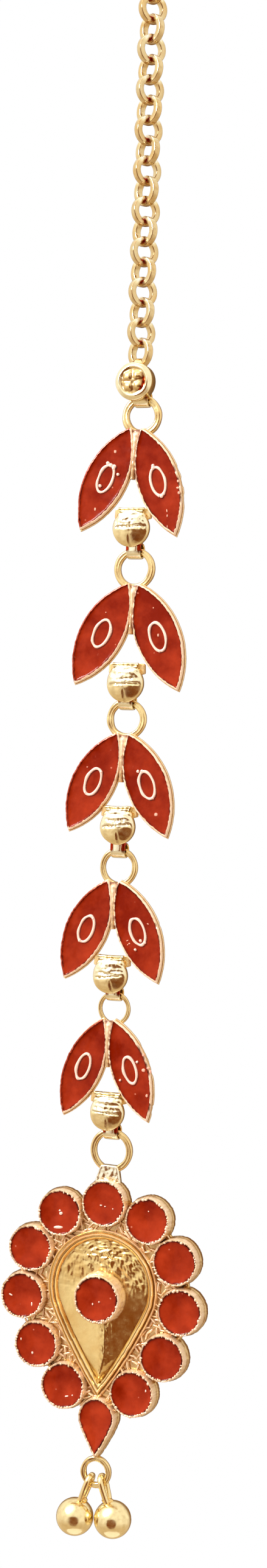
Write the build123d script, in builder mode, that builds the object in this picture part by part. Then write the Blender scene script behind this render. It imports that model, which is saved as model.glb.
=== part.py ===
from build123d import *
import math
import os

# A maang tikka, worn on the parting of the hair: a hair hook, a fine chain, a round connector,
# five links of two enamelled leaves each, and an enamelled flower pendant with two gold balls.
# Millimetres. It hangs: +Z is up, the front faces -Y, and X runs across.
# The origin is the inside of the hook's crown, where the piece hangs.

# ---------- driving dimensions ----------

clearance = 0.03            # around every enamel filling, inside its metal tray
sunk = 0.05                 # how deep a raised shape is set into the metal under it

# hair hook: one bent wire with a soldered eye
hook_wire = 0.45            # wire radius
hook_crown = 1.75           # inside radius of the crown, so that a lock of hair fits
hook_tip_drop = 4.6         # how far the free tip reaches down
hook_shank_drop = 4.4       # where the shank turns back to the middle
hook_eye_height = -8.45     # centre of the eye
hook_eye_radius = 0.93      # centre line of the eye's wire
hook_eye_wire = 0.28
hook_bend = 0.7             # bend radius at the shank's corners

# fine chain of round links, as one tube along its straight run
chain_radius = 1.15
chain_across = 0.06
chain_top = -9.9
chain_bottom = -43.5

# jump rings: one behind the top of each leaf link, the last behind the pendant's neck
ring_table = (
    # across, height, centre line radius, wire radius
    (0.45, -48.69, 1.55, 0.33),
    (0.26, -62.50, 1.63, 0.31),
    (0.01, -76.09, 1.58, 0.30),
    (-0.16, -89.48, 1.55, 0.26),
    (-0.20, -102.25, 1.36, 0.19),
    (0.00, -115.06, 1.71, 0.29),
)

# leaf links: where each pair of leaves and its boss sit, from the top link down
link_table = (
    # leaves: across, height, roll, half spread, lean, half length, half width; boss: across, height, radius
    (-0.11, -54.53, -3.1, 2.53, 23.3, 4.95, 1.84, 0.05, -58.87, 1.72),
    (0.22, -68.51, -2.6, 2.70, 25.9, 5.00, 1.96, 0.01, -72.86, 1.73),
    (-0.19, -81.89, -1.7, 2.60, 24.9, 4.82, 1.87, -0.22, -85.77, 1.65),
    (-0.46, -95.15, 0.0, 2.48, 23.7, 4.74, 1.82, -0.42, -99.24, 1.63),
    (-0.49, -107.61, -0.4, 2.24, 21.9, 4.63, 1.64, -0.24, -111.60, 1.60),
)
rim_width = 0.17            # metal wall around the enamel
flange_width = 0.27         # base plate around the enamel
seam_width = 0.50           # solder seam between the two leaves, from the ring to their middle
seam_top = 4.2              # above the middle of the leaves
tray_back = 0.12            # depths are measured forwards from the plane of the jump rings
flange_front = 0.38
enamel_front = 0.70
rim_front = 0.78
oval_length_share = 0.285   # raised oval line: half its length, as a share of a leaf's half length
oval_width_share = 0.43     # and half its width, as a share of a leaf's half width
oval_turn = 3.5             # degrees more upright than its leaf
oval_line = 0.22

# round bosses with four lobes
boss_back = 0.40
boss_front = 1.40
boss_round = 0.22           # rounding of the face's edge
lobe_radius = 0.38          # lobes, as shares of the boss's radius
lobe_offset = 0.34
lobe_height = 0.16
bar_up = 1.72               # cross bar above the boss's middle
bar_half_length = 1.20
bar_thickness = 0.26
bar_front = 0.95
web_half_length = 2.2       # back web that joins the boss to both leaves
web_foot = 1.8
web_drop = 0.9
pad_radius = 1.05           # pad behind the boss, on the web
connector_across = 0.10
connector_height = -45.75
connector_front = 2.05
connector_radius = 1.72

# eyelets: short straps folded round the next ring
eyelet_width = 1.4
eyelet_wall = 0.20
eyelet_play = 0.07
chain_eye_height = -44.22
chain_eye_bore = 0.38
chain_eye_width = 1.3
leg_lap = 0.6               # how far an eyelet's leg reaches behind its boss

# pendant: heights below are from the level of its widest stones
pendant_across = -0.05
pendant_height = -128.70
plate_back = -0.15
plate_front = 0.22
plate_margin = 0.8          # how far the plate reaches outside the ring of collets
stone_table = (
    # across, up: the round collets of the right half, top to bottom
    (4.21, 7.81),
    (6.93, 4.38),
    (7.56, 0.0),
    (6.03, -4.26),
    (3.30, -7.74),
)
top_stone_up = 9.02
stone_radius = 1.91         # of the enamel
collet_wall = 0.18
collet_foot = 0.32          # the beaded wire round a collet's foot reaches out this far
collet_foot_front = 0.75
collet_front = 1.50
stone_front = 1.44
drop_radius = 1.55          # drop-shaped stone at the bottom, point down
drop_centre = -10.21
drop_tip = -13.50
drop_shoulder = 22.0        # degrees below level where the round part ends
tray_radius = 4.66          # inside of the teardrop tray
tray_centre = 1.38
tray_tip = -7.72
tray_shoulder = 25.0
tray_rim = 0.27
tray_foot = 0.55            # the border wire round the tray reaches out this far
tray_foot_front = 1.15
tray_floor = 0.80
tray_front = 1.36
keel_height = 0.35          # the floor rises to a keel along its middle
keel_inset = 0.3
keel_taper = 60
centre_up = 0.57
centre_radius = 1.95
centre_wall = 0.38
centre_front = 2.50
centre_enamel_front = 2.44
neck_top = -1.25            # from the last jump ring's centre
neck_top_width = 1.55
neck_bottom_width = 2.35
neck_front = 0.72
neck_lap = 0.3              # how far the neck reaches into the top collet

# bottom jump ring and the two balls
drop_ring_across = -0.12
drop_ring_height = -144.02
drop_ring_front = 0.5
drop_ring_radius = 1.2
drop_ring_wire = 0.24
ball_radius = 1.70
ball_table = (
    # name, ball across, front, height, loop top across
    ("ball_left", -1.97, 0.75, -148.21, -0.58),
    ("ball_right", 1.52, 0.35, -148.12, 0.36),
)
loop_wire = 0.25
loop_half_depth = 0.62      # centre line of a ball's loop, front to back
loop_top = 0.76             # centre line of a loop's top above the ring's lowest wire
loop_close = 0.6            # the loop's legs close in to this share of their distance
loop_lap = 0.25             # how far the legs run into the ball, as a share of its radius

os.makedirs("parts", exist_ok=True)


# ---------- shared shapes ----------

def save(part, name):
    """Label a finished piece and write its file."""
    part.label = name
    export_step(part, f"parts/{name}.step")


def front_plane(across, height, lean=0.0):
    """A plane that faces the front: its x runs across, its y up, its z forwards."""
    turn = math.radians(lean)
    return Plane(
        origin=(across, 0, height),
        x_dir=(math.cos(turn), 0, math.sin(turn)),
        z_dir=(0, -1, 0),
    )


def side_plane(front, up):
    """A plane across a front plane, at a height on it: its x runs forwards and its y up."""
    return Plane(
        origin=front.origin + front.y_dir * up,
        x_dir=front.z_dir,
        z_dir=-front.x_dir,
    )


def leaf_face(half_length, half_width, grow):
    """A pointed leaf of two equal arcs, upright, parallel to the enamel's outline."""
    radius = (half_length**2 + half_width**2) / (2 * half_width)
    middle = radius - half_width
    tip = math.sqrt((radius + grow) ** 2 - middle**2)
    side = half_width + grow
    with BuildSketch() as face:
        with BuildLine():
            ThreePointArc((0, tip), (side, 0), (0, -tip))
            ThreePointArc((0, -tip), (-side, 0), (0, tip))
        make_face()
    return face.sketch


def oval_face(half_length, half_width, grow):
    """The raised oval's outline in a leaf of the given size, upright."""
    with BuildSketch() as face:
        Ellipse(oval_width_share * half_width + grow, oval_length_share * half_length + grow)
    return face.sketch


def drop_face(radius, centre, tip, shoulder, grow):
    """A drop, point down: a round top whose sides close in two long arcs."""
    angle = math.radians(shoulder)
    length = centre - tip
    reach = length * math.sin(angle)
    side_radius = (radius**2 - 2 * radius * reach + length**2) / (2 * (radius - reach))
    side_across = (radius - side_radius) * math.cos(angle)
    side_up = centre - (radius - side_radius) * math.sin(angle)
    grown = radius + grow
    start = (grown * math.cos(angle), centre - grown * math.sin(angle))
    grown_side = side_radius + grow
    end = (0, side_up - math.sqrt(grown_side**2 - side_across**2))
    start_angle = math.atan2(start[1] - side_up, start[0] - side_across)
    end_angle = math.atan2(end[1] - side_up, end[0] - side_across)
    half_way = (start_angle + end_angle) / 2
    middle = (
        side_across + grown_side * math.cos(half_way),
        side_up + grown_side * math.sin(half_way),
    )
    with BuildSketch() as face:
        with BuildLine():
            ThreePointArc((-start[0], start[1]), (0, centre + grown), start)
            ThreePointArc(start, middle, end)
            ThreePointArc(end, (-middle[0], middle[1]), (-start[0], start[1]))
        make_face()
    return face.sketch


def make_boss(middle, radius, face_front):
    """A round boss with four raised lobes on its face, on a front plane at its middle."""
    with BuildPart() as boss:
        with BuildSketch(middle.offset(boss_back)):
            Circle(radius)
        extrude(amount=face_front - boss_back)
        face_edges = boss.edges().group_by(Axis.Y)[0]
        fillet(face_edges, radius=boss_round)
        with BuildSketch(middle.offset(face_front - sunk)):
            with GridLocations(2 * lobe_offset * radius, 2 * lobe_offset * radius, 2, 2):
                Circle(lobe_radius * radius)
        extrude(amount=lobe_height + sunk)
    return boss.part


def make_eyelet(front, up, bore, width, leg_up, leg_length):
    """A strap folded into an eyelet, with a leg in front that reaches up or down to its boss."""
    with BuildPart() as eyelet:
        with BuildSketch(side_plane(front, up)):
            Circle(bore + eyelet_wall)
            Circle(bore, mode=Mode.SUBTRACT)
        extrude(amount=width / 2, both=True)
        with BuildSketch(front.offset(bore)):
            with Locations((0, leg_up)):
                Rectangle(width, leg_length)
        extrude(amount=eyelet_wall)
    return eyelet.part


def make_holding_eyelet(front, wire_up, ring_radius, wire, boss_bottom):
    """The eyelet under a boss, round the top of the next ring, whose wire is at wire_up."""
    inside_at_end = math.sqrt((ring_radius - wire) ** 2 - (eyelet_width / 2) ** 2)
    bore = ring_radius - inside_at_end + eyelet_play
    leg_top = boss_bottom + leg_lap
    leg_length = leg_top - wire_up
    return make_eyelet(front, wire_up, bore, eyelet_width, wire_up + leg_length / 2, leg_length)


# ---------- hair hook and chain ----------

bend = hook_crown + hook_wire
crown_up = -hook_crown
with BuildPart() as hair_hook:
    with BuildLine(Plane.YZ) as hook_path:
        Line((bend, -hook_tip_drop), (bend, crown_up))
        ThreePointArc((bend, crown_up), (0, crown_up + bend), (-bend, crown_up))
        FilletPolyline(
            (-bend, crown_up),
            (-bend, -hook_shank_drop),
            (0, -hook_shank_drop - bend),
            (0, hook_eye_height + hook_eye_radius),
            radius=hook_bend,
        )
    with BuildSketch(Plane(origin=(0, bend, -hook_tip_drop), z_dir=(0, 0, 1))):
        Circle(hook_wire)
    sweep(path=hook_path.line)
    with Locations((0, bend, -hook_tip_drop)):
        Sphere(hook_wire)
    with Locations((0, 0, hook_eye_height)):
        Torus(hook_eye_radius, hook_eye_wire, rotation=(90, 0, 0))
save(hair_hook.part, "hair_hook")

with BuildPart() as chain:
    with BuildSketch(Plane.XY.offset(chain_bottom)):
        with Locations((chain_across, 0)):
            Circle(chain_radius)
    extrude(amount=chain_top - chain_bottom)
save(chain.part, "chain")


# ---------- connector between the chain and the first leaf link ----------

first_across, first_height, first_radius, first_wire = ring_table[0]
connector_plane = front_plane(connector_across, connector_height)
connector_boss = make_boss(connector_plane, connector_radius, connector_front)
first_plane = front_plane(first_across, connector_height)
hold_up = first_height + first_radius - connector_height
lower_eyelet = make_holding_eyelet(first_plane, hold_up, first_radius, first_wire, -connector_radius)
eye_up = chain_eye_height - connector_height
leg_middle = eye_up - leg_lap
upper_eyelet = make_eyelet(connector_plane, eye_up, chain_eye_bore, chain_eye_width, leg_middle, 2 * leg_lap)
with BuildPart() as connector:
    add(connector_boss)
    add(lower_eyelet)
    add(upper_eyelet)
save(connector.part, "connector")


# ---------- leaf links ----------

def leaf_places(spread, lean):
    """Where the two leaves of a link lie on its leaf plane: left one first."""
    for side in (-1, 1):
        yield Location((side * spread, 0, 0), side * lean)


def oval_places(spread, lean):
    """Where the two ovals lie: in the middle of the leaves, a little more upright."""
    return leaf_places(spread, lean - oval_turn)


def build_leaf_link(ring, next_ring, row):
    """The metal of one link: two trays, the ring behind them, the boss and its eyelet."""
    across, height, roll, spread, lean, half_length, half_width, boss_across, boss_height, boss_radius = row
    leaves = front_plane(across, height, roll)
    boss_middle = front_plane(boss_across, boss_height)
    step_across = next_ring[0] - ring[0]
    step_down = ring[1] - next_ring[1]
    pitch = math.hypot(step_across, step_down)
    chain_line = front_plane(ring[0], ring[1], math.degrees(math.atan2(step_across, step_down)))
    boss_bottom = boss_height - boss_radius - ring[1]
    eyelet = make_holding_eyelet(chain_line, next_ring[2] - pitch, next_ring[2], next_ring[3], boss_bottom)
    with BuildPart() as link:
        for place in leaf_places(spread, lean):
            with BuildSketch(leaves.offset(tray_back)):
                with Locations(place):
                    add(leaf_face(half_length, half_width, flange_width))
            extrude(amount=flange_front - tray_back)
            with BuildSketch(leaves.offset(flange_front)):
                with Locations(place):
                    add(leaf_face(half_length, half_width, rim_width))
            extrude(amount=rim_front - flange_front)
        with BuildSketch(leaves.offset(tray_back)):
            with Locations((0, seam_top / 2)):
                Rectangle(seam_width, seam_top)
        extrude(amount=enamel_front - tray_back)
        for place in leaf_places(spread, lean):
            with BuildSketch(leaves.offset(flange_front)):
                with Locations(place):
                    add(leaf_face(half_length, half_width, 0))
            extrude(amount=rim_front - flange_front, mode=Mode.SUBTRACT)
        for place in oval_places(spread, lean):
            with BuildSketch(leaves.offset(flange_front - sunk)):
                with Locations(place):
                    add(oval_face(half_length, half_width, 0))
                with Locations(place):
                    add(oval_face(half_length, half_width, -oval_line), mode=Mode.SUBTRACT)
            extrude(amount=rim_front - flange_front + sunk)
        with Locations(chain_line.origin):
            Torus(ring[2], ring[3], rotation=(90, 0, 0))
        with BuildSketch(boss_middle.offset(tray_back)):
            with BuildLine():
                Polyline(
                    (-web_half_length, bar_up),
                    (web_half_length, bar_up),
                    (web_foot, bar_up - web_drop),
                    (-web_foot, bar_up - web_drop),
                    close=True,
                )
            make_face()
        extrude(amount=flange_front - tray_back)
        with BuildSketch(boss_middle.offset(tray_back)):
            Circle(pad_radius)
        extrude(amount=boss_back + sunk - tray_back)
        with BuildSketch(boss_middle.offset(flange_front - sunk)):
            with Locations((0, bar_up)):
                Rectangle(2 * bar_half_length, bar_thickness)
        extrude(amount=bar_front - flange_front + sunk)
        add(make_boss(boss_middle, boss_radius, boss_front))
        add(eyelet)
    return link.part


def build_enamel(leaves, place, face, hole=None, hole_place=None):
    """One enamel filling of a leaf's tray, with the given outline."""
    with BuildPart() as enamel:
        with BuildSketch(leaves.offset(flange_front + clearance)):
            with Locations(place):
                add(face)
            if hole is not None:
                with Locations(hole_place):
                    add(hole, mode=Mode.SUBTRACT)
        extrude(amount=enamel_front - flange_front - clearance)
    return enamel.part


for number, row in enumerate(link_table, start=1):
    link = build_leaf_link(ring_table[number - 1], ring_table[number], row)
    save(link, f"leaf_link_{number}")
    across, height, roll, spread, lean, half_length, half_width = row[:7]
    leaves = front_plane(across, height, roll)
    leaf = leaf_face(half_length, half_width, -clearance)
    opening = oval_face(half_length, half_width, clearance)
    oval = oval_face(half_length, half_width, -oval_line - clearance)
    places = zip(("left", "right"), leaf_places(spread, lean), oval_places(spread, lean))
    for side, place, oval_place in places:
        save(build_enamel(leaves, place, leaf, opening, oval_place), f"leaf_enamel_{number}_{side}")
        save(build_enamel(leaves, oval_place, oval), f"oval_enamel_{number}_{side}")


# ---------- pendant ----------

pendant_plane = front_plane(pendant_across, pendant_height)
last_across, last_height, last_radius, last_wire = ring_table[-1]
neck_up = last_height + neck_top - pendant_height
neck_foot_up = top_stone_up + stone_radius - neck_lap

left_stones = [(-across, up) for across, up in stone_table]
round_stones = [(0.0, top_stone_up)] + list(stone_table) + left_stones
plate_corners = [(0.0, top_stone_up)] + list(stone_table) + [(0.0, drop_centre)] + left_stones[::-1]
drop_sizes = (drop_radius, drop_centre, drop_tip, drop_shoulder)
tray_sizes = (tray_radius, tray_centre, tray_tip, tray_shoulder)

with BuildPart() as pendant:
    with BuildSketch(pendant_plane.offset(plate_back)):
        with BuildLine():
            Polyline(*plate_corners, close=True)
        make_face()
        offset(amount=plate_margin, kind=Kind.ARC)
        with Locations(*round_stones):
            Circle(stone_radius + collet_foot)
        add(drop_face(*drop_sizes, collet_foot))
    extrude(amount=plate_front - plate_back)
    for width, front_depth in ((collet_foot, collet_foot_front), (collet_wall, collet_front)):
        with BuildSketch(pendant_plane.offset(plate_front)):
            with Locations(*round_stones):
                Circle(stone_radius + width)
            add(drop_face(*drop_sizes, width))
        extrude(amount=front_depth - plate_front)
    for width, front_depth in ((tray_foot, tray_foot_front), (tray_rim, tray_front)):
        with BuildSketch(pendant_plane.offset(plate_front)):
            add(drop_face(*tray_sizes, width))
        extrude(amount=front_depth - plate_front)
    with BuildSketch(pendant_plane.offset(plate_back)):
        with BuildLine():
            Polyline(
                (-neck_top_width / 2, neck_up),
                (neck_top_width / 2, neck_up),
                (neck_bottom_width / 2, neck_foot_up),
                (-neck_bottom_width / 2, neck_foot_up),
                close=True,
            )
        make_face()
    extrude(amount=neck_front - plate_back)
    with BuildSketch(pendant_plane.offset(plate_front)):
        with Locations(*round_stones):
            Circle(stone_radius)
        add(drop_face(*drop_sizes, 0))
    extrude(amount=collet_front - plate_front, mode=Mode.SUBTRACT)
    with BuildSketch(pendant_plane.offset(tray_floor)):
        add(drop_face(*tray_sizes, 0))
    extrude(amount=tray_front - tray_floor, mode=Mode.SUBTRACT)
    with BuildSketch(pendant_plane.offset(tray_floor)):
        add(drop_face(*tray_sizes, -keel_inset))
    extrude(amount=keel_height, taper=keel_taper)
    with BuildSketch(pendant_plane.offset(tray_floor)):
        with Locations((0, centre_up)):
            Circle(centre_radius + centre_wall)
    extrude(amount=centre_front - tray_floor)
    with BuildSketch(pendant_plane.offset(plate_front)):
        with Locations((0, centre_up)):
            Circle(centre_radius)
    extrude(amount=centre_front - plate_front, mode=Mode.SUBTRACT)
    with Locations((last_across, 0, last_height)):
        Torus(last_radius, last_wire, rotation=(90, 0, 0))
    with Locations((drop_ring_across, -drop_ring_front, drop_ring_height)):
        Torus(drop_ring_radius, drop_ring_wire, rotation=(90, 0, 0))
save(pendant.part, "pendant")


def build_filling(face, front_depth):
    """A stone of enamel, in its collet, with the given outline."""
    with BuildPart() as filling:
        with BuildSketch(pendant_plane.offset(plate_front + clearance)):
            add(face)
        extrude(amount=front_depth - plate_front - clearance)
    return filling.part


def round_face(across, up, radius):
    with BuildSketch() as face:
        with Locations((across, up)):
            Circle(radius)
    return face.sketch


stone_names = ["top"] + [f"right_{row}" for row in range(1, 6)] + [f"left_{row}" for row in range(1, 6)]
for name, (across, up) in zip(stone_names, round_stones):
    face = round_face(across, up, stone_radius - clearance)
    save(build_filling(face, stone_front), f"stone_{name}")
save(build_filling(drop_face(*drop_sizes, -clearance), stone_front), "stone_drop")
centre_face = round_face(0, centre_up, centre_radius - clearance)
save(build_filling(centre_face, centre_enamel_front), "stone_centre")


# ---------- the two balls, each with its wire loop ----------

for name, across, front_depth, height, loop_across in ball_table:
    ring_low = drop_ring_height - math.sqrt(drop_ring_radius**2 - (loop_across - drop_ring_across) ** 2)
    top = Vector(loop_across, -drop_ring_front, ring_low + loop_top)
    centre = Vector(across, -front_depth, height)
    down = (centre - top).normalized()
    loop_plane = Plane(origin=top, x_dir=down, z_dir=Vector(0, -1, 0).cross(down))
    loop_length = (centre - top).length - ball_radius * (1 - loop_lap)
    with BuildPart() as ball:
        with Locations(centre):
            Sphere(ball_radius)
        with BuildLine(loop_plane) as loop_path:
            ThreePointArc(
                (loop_half_depth, loop_half_depth),
                (0, 0),
                (loop_half_depth, -loop_half_depth),
            )
            Line((loop_half_depth, -loop_half_depth), (loop_length, -loop_half_depth * loop_close))
        with BuildLine(loop_plane) as other_leg:
            Line((loop_length, loop_half_depth * loop_close), (loop_half_depth, loop_half_depth))
        with BuildSketch(Plane(origin=loop_path.line @ 0, z_dir=loop_path.line % 0)):
            Circle(loop_wire)
        sweep(path=loop_path.line, transition=Transition.ROUND)
        with BuildSketch(Plane(origin=other_leg.line @ 0, z_dir=other_leg.line % 0)):
            Circle(loop_wire)
        sweep(path=other_leg.line)
    save(ball.part, name)
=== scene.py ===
import math
from collections import namedtuple

import bmesh
import bpy
import numpy as np
from mathutils import Matrix, Vector, noise


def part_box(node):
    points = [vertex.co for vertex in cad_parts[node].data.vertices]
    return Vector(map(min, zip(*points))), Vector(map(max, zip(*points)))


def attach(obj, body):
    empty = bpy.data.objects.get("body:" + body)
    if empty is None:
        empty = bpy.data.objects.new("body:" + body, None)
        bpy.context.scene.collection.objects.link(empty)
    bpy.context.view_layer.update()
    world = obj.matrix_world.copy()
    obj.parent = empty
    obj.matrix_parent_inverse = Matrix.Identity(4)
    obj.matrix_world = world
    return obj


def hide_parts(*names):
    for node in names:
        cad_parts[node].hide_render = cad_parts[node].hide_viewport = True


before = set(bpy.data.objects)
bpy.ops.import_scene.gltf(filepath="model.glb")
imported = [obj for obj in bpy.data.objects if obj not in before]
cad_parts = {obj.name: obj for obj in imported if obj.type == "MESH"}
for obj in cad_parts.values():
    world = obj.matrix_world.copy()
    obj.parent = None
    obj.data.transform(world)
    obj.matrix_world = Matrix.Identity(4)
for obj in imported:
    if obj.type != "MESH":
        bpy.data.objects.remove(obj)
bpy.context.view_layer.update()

# A maang tikka of gold-plated metal and red enamel, hanging from its hair hook.
# Lengths here are in millimetres, as (across, forwards, up), and become metres when a mesh is made.

MM = 0.001
FULL_TURN = 2 * math.pi
SIDES = ("left", "right")
LINK_COUNT = 5

# hair hook
HOOK_WIRE = 0.45
HOOK_CROWN = 2.2            # radius of the crown's centre line
HOOK_CROWN_UP = -1.75
HOOK_TIP_UP = -4.5
HOOK_EYE_UP = -8.45
HOOK_EYE_RADIUS = 0.93
HOOK_EYE_WIRE = 0.255

# chain
CHAIN_RADIUS = 1.105
CHAIN_WIRE = 0.27           # half the wire's width, in the plane of a link
CHAIN_BAND = 0.33           # half its width across that plane
CHAIN_PITCH = 1.829
CHAIN_TOP = -10.03
CHAIN_LINKS = 19

# trays of the leaf links: depths are measured forwards from the plane of the jump rings
TRAY_BACK = 0.12
FLANGE_FRONT = 0.38
RIM_FRONT = 0.78
LEAF_ENAMEL = 0.70
FLANGE = 0.27
RIM = 0.17
TRAY_FLOOR = 0.42

# jump rings: centre line radius and wire radius, from the top link's to the pendant's own
RINGS = ((1.55, 0.33), (1.63, 0.31), (1.58, 0.30), (1.55, 0.26), (1.36, 0.19), (1.71, 0.29))
SMALL_RING = (1.20, 0.24)
SMALL_RING_FRONT = 0.5

# bosses, their eyelets and the cross bars
BOSS_BACK = 0.40
LINK_BOSS_FRONT = 1.36
CONNECTOR_BOSS_FRONT = 2.02
LOBE_REACH = 0.72           # outer edge of the lobes, as a share of the boss's radius
STRAP = 0.10                # half the thickness of an eyelet's strap
STRAP_WIDTH = 1.35
BAR_UP = 1.72               # top of the bar above the boss's middle

# pendant
PLATE_BACK = -0.15
PLATE_FRONT = 0.22
BED_FRONT = 0.58
COLLET_FRONT = 1.50
STONE_FLOOR = 0.30
STONE_FRONT = 1.42
STONE_DISHED = 0.11         # how far the middle of a round stone lies under its edge
DROP_DISHED = 0.10
CENTRE_FRONT = 2.50
CENTRE_FLOOR = 0.5
CENTRE_ENAMEL = 2.40
FLECK_SUNK = 0.06           # how far under the enamel a pale lump, a painted highlight, starts
DROP_SHOULDER = 22.0
DISH_FLOOR = 0.82
KEEL = 0.42                 # how far the dish's keel stands above its floor

# colours of the gold: pale and white where it wears and as painted highlights, pink as a painted reflection
# of the enamel beside it, brown and deep red as painted shade in its grooves and joints, with dirt
PALE_WEAR_AND_HIGHLIGHT = (0.96, 0.84, 0.52)
WHITE_HIGHLIGHT_AND_WEAR = (1.0, 0.97, 0.88)
PINK_REFLECTION = (0.95, 0.70, 0.53)
ROSY_REFLECTION = (0.98, 0.66, 0.56)
BROWN_SHADE_AND_DIRT = (0.22, 0.040, 0.007)
DEEP_RED_SHADE_AND_DIRT = (0.40, 0.024, 0.004)

# colours of the enamel's painted shade along its rim and of its pale lumps, which are painted highlights
ENAMEL_RIM_SHADE = (0.11, 0.004, 0.0008)
PALE_LUMP_HIGHLIGHT = (0.85, 0.40, 0.30)

Leaf = namedtuple("Leaf", "middle axis half_length half_width")
Drop = namedtuple("Drop", "across up radius length shoulder")


# ---------- reading the frame ----------

def node_points(node):
    """A node's corners: across, forwards and up."""
    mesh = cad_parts[node].data
    points = np.zeros(len(mesh.vertices) * 3)
    mesh.vertices.foreach_get("co", points)
    across, back, up = points.reshape(-1, 3).T / MM
    return np.column_stack((across, -back, up))


def measure_leaf(node):
    """Middle, axis towards the upper tip, half length and half width of a leaf or an oval."""
    flat = node_points(node)[:, [0, 2]]
    middle = (flat.min(0) + flat.max(0)) / 2
    out = flat - middle
    tip = out[np.argmax((out**2).sum(1))]
    if tip[1] < 0:
        tip = -tip
    half_length = math.hypot(*tip)
    axis = tip / half_length
    half_width = abs(out @ np.array([axis[1], -axis[0]])).max()
    return Leaf(middle, axis, half_length, half_width)


def measure_round(node):
    """Middle and radius of a round node, as (across, up) and a length."""
    flat = node_points(node)[:, [0, 2]]
    return (flat.min(0) + flat.max(0)) / 2, (flat.max(0) - flat.min(0)).mean() / 2


def measure_boss(node):
    """Middle and radius of a node's boss: nothing else reaches as far forwards as its lobes."""
    points = node_points(node)
    lobes = points[points[:, 1] > points[:, 1].max() - 0.02][:, [0, 2]]
    return (lobes.min(0) + lobes.max(0)) / 2, np.ptp(lobes, axis=0).mean() / 2 / LOBE_REACH


def measure_drop(node):
    """Place and size of the drop-shaped stone."""
    flat = node_points(node)[:, [0, 2]]
    radius = np.ptp(flat[:, 0]) / 2
    up = flat[:, 1].max() - radius
    return Drop((flat[:, 0].min() + flat[:, 0].max()) / 2, up, radius, up - flat[:, 1].min(), DROP_SHOULDER)


def measure_small_ring():
    """Middle of the small jump ring at the pendant's foot."""
    points = node_points("pendant")
    foot = points[:, 2].min()
    across = points[points[:, 2] < foot + 0.004][:, 0]
    return np.array([(across.min() + across.max()) / 2, foot + sum(SMALL_RING)])


def measure_top_ring(node, ring):
    """Middle of the jump ring that makes a node's top."""
    points = node_points(node)
    top = points[:, 2].max()
    across = points[points[:, 2] > top - 0.004][:, 0]
    return np.array([(across.min() + across.max()) / 2, top - sum(ring)])


# ---------- unevenness of hand work ----------

def full_turn(steps):
    """Angles at even steps round a full turn."""
    return np.linspace(0, FULL_TURN, steps, endpoint=False)


def waver(count, seed, waves=5):
    """A smooth wander round a loop, mostly within -1 and 1."""
    rng = np.random.default_rng(seed)
    turn = full_turn(count)
    total = np.zeros(count)
    for wave in range(1, waves + 1):
        total += rng.uniform(0.4, 1.0) * np.sin(wave * turn + rng.uniform(0, FULL_TURN))
    return total / math.sqrt(waves)


def teeth(count, tooth_count, seed):
    """Uneven teeth round a loop: up to 1 on a tooth's top, 0 between two."""
    rng = np.random.default_rng(seed)
    ends = np.cumsum(rng.uniform(0.35, 1.65, tooth_count))
    ends = ends / ends[-1]
    starts = np.concatenate(([0.0], ends[:-1]))
    place = np.arange(count) / count
    which = np.searchsorted(ends, place, side="right")
    height = rng.uniform(0.15, 1.0, tooth_count)
    share = (place - starts[which]) / (ends[which] - starts[which])
    return height[which] * np.sin(np.pi * share) ** 0.6


def jag(count, seed):
    """A fine ragged edge round a loop, mostly within -1 and 1."""
    rough = np.random.default_rng(seed).normal(0, 1, count)
    return (np.roll(rough, 1) + 2 * rough + np.roll(rough, -1)) / 2.4


def ripple(across, up, size, seed):
    """A smooth noise over the front, from -1 to 1, with bumps of about the given size."""
    flat = np.column_stack((np.ravel(across), np.ravel(up))) / size
    values = [noise.noise(Vector((x, z, 7.3 * seed))) for x, z in flat]
    return np.array(values).reshape(np.shape(across))


def step(value, low, high):
    """A smooth step from 0 at low to 1 at high."""
    share = np.clip((value - low) / (high - low), 0, 1)
    return share * share * (3 - 2 * share)


def hump(value, middle, width):
    """A smooth hump: 1 at its middle, fading over about the given width to each side."""
    return np.exp(-(((value - middle) / width) ** 2))


# ---------- outlines, as loops of (across, up) ----------

def side_axis(shape):
    """The direction across a leaf or an oval, to the right of its axis."""
    return np.array([shape.axis[1], -shape.axis[0]])


def leaf_loop(leaf, grow, steps=110):
    """Round a leaf of two arcs with blunt tips, moved out by grow, from its lower tip."""
    radius = (leaf.half_length**2 + leaf.half_width**2) / (2 * leaf.half_width)
    middle = radius - leaf.half_width
    reach = radius + np.maximum(grow, 0.02 - leaf.half_width)
    reach = np.broadcast_to(reach, (2 * steps,))
    half_turn = np.arccos(np.clip(middle / reach, -1, 1))
    share = np.tile(np.linspace(-1, 1, steps, endpoint=False), 2)
    side = np.repeat((1, -1), steps)
    across = side * (reach * np.cos(share * half_turn) - middle)
    along = side * reach * np.sin(share * half_turn)
    # both tips are cut blunt, and the lower one reaches further
    blunt = leaf.half_length + np.minimum(grow, 0.25) * 0.8 + 0.02
    along = np.clip(along, -blunt - np.maximum(grow, 0) * 0.9, blunt)
    return leaf.middle + across[:, None] * side_axis(leaf) + along[:, None] * leaf.axis


def oval_loop(oval, grow, steps=44):
    turn = full_turn(steps)
    across = (oval.half_width + grow) * np.cos(turn)
    along = (oval.half_length + grow) * np.sin(turn)
    return oval.middle + across[:, None] * side_axis(oval) + along[:, None] * oval.axis


def round_loop(middle, radius, steps):
    turn = full_turn(steps)
    return np.column_stack((middle[0] + radius * np.cos(turn), middle[1] + radius * np.sin(turn)))


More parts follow.
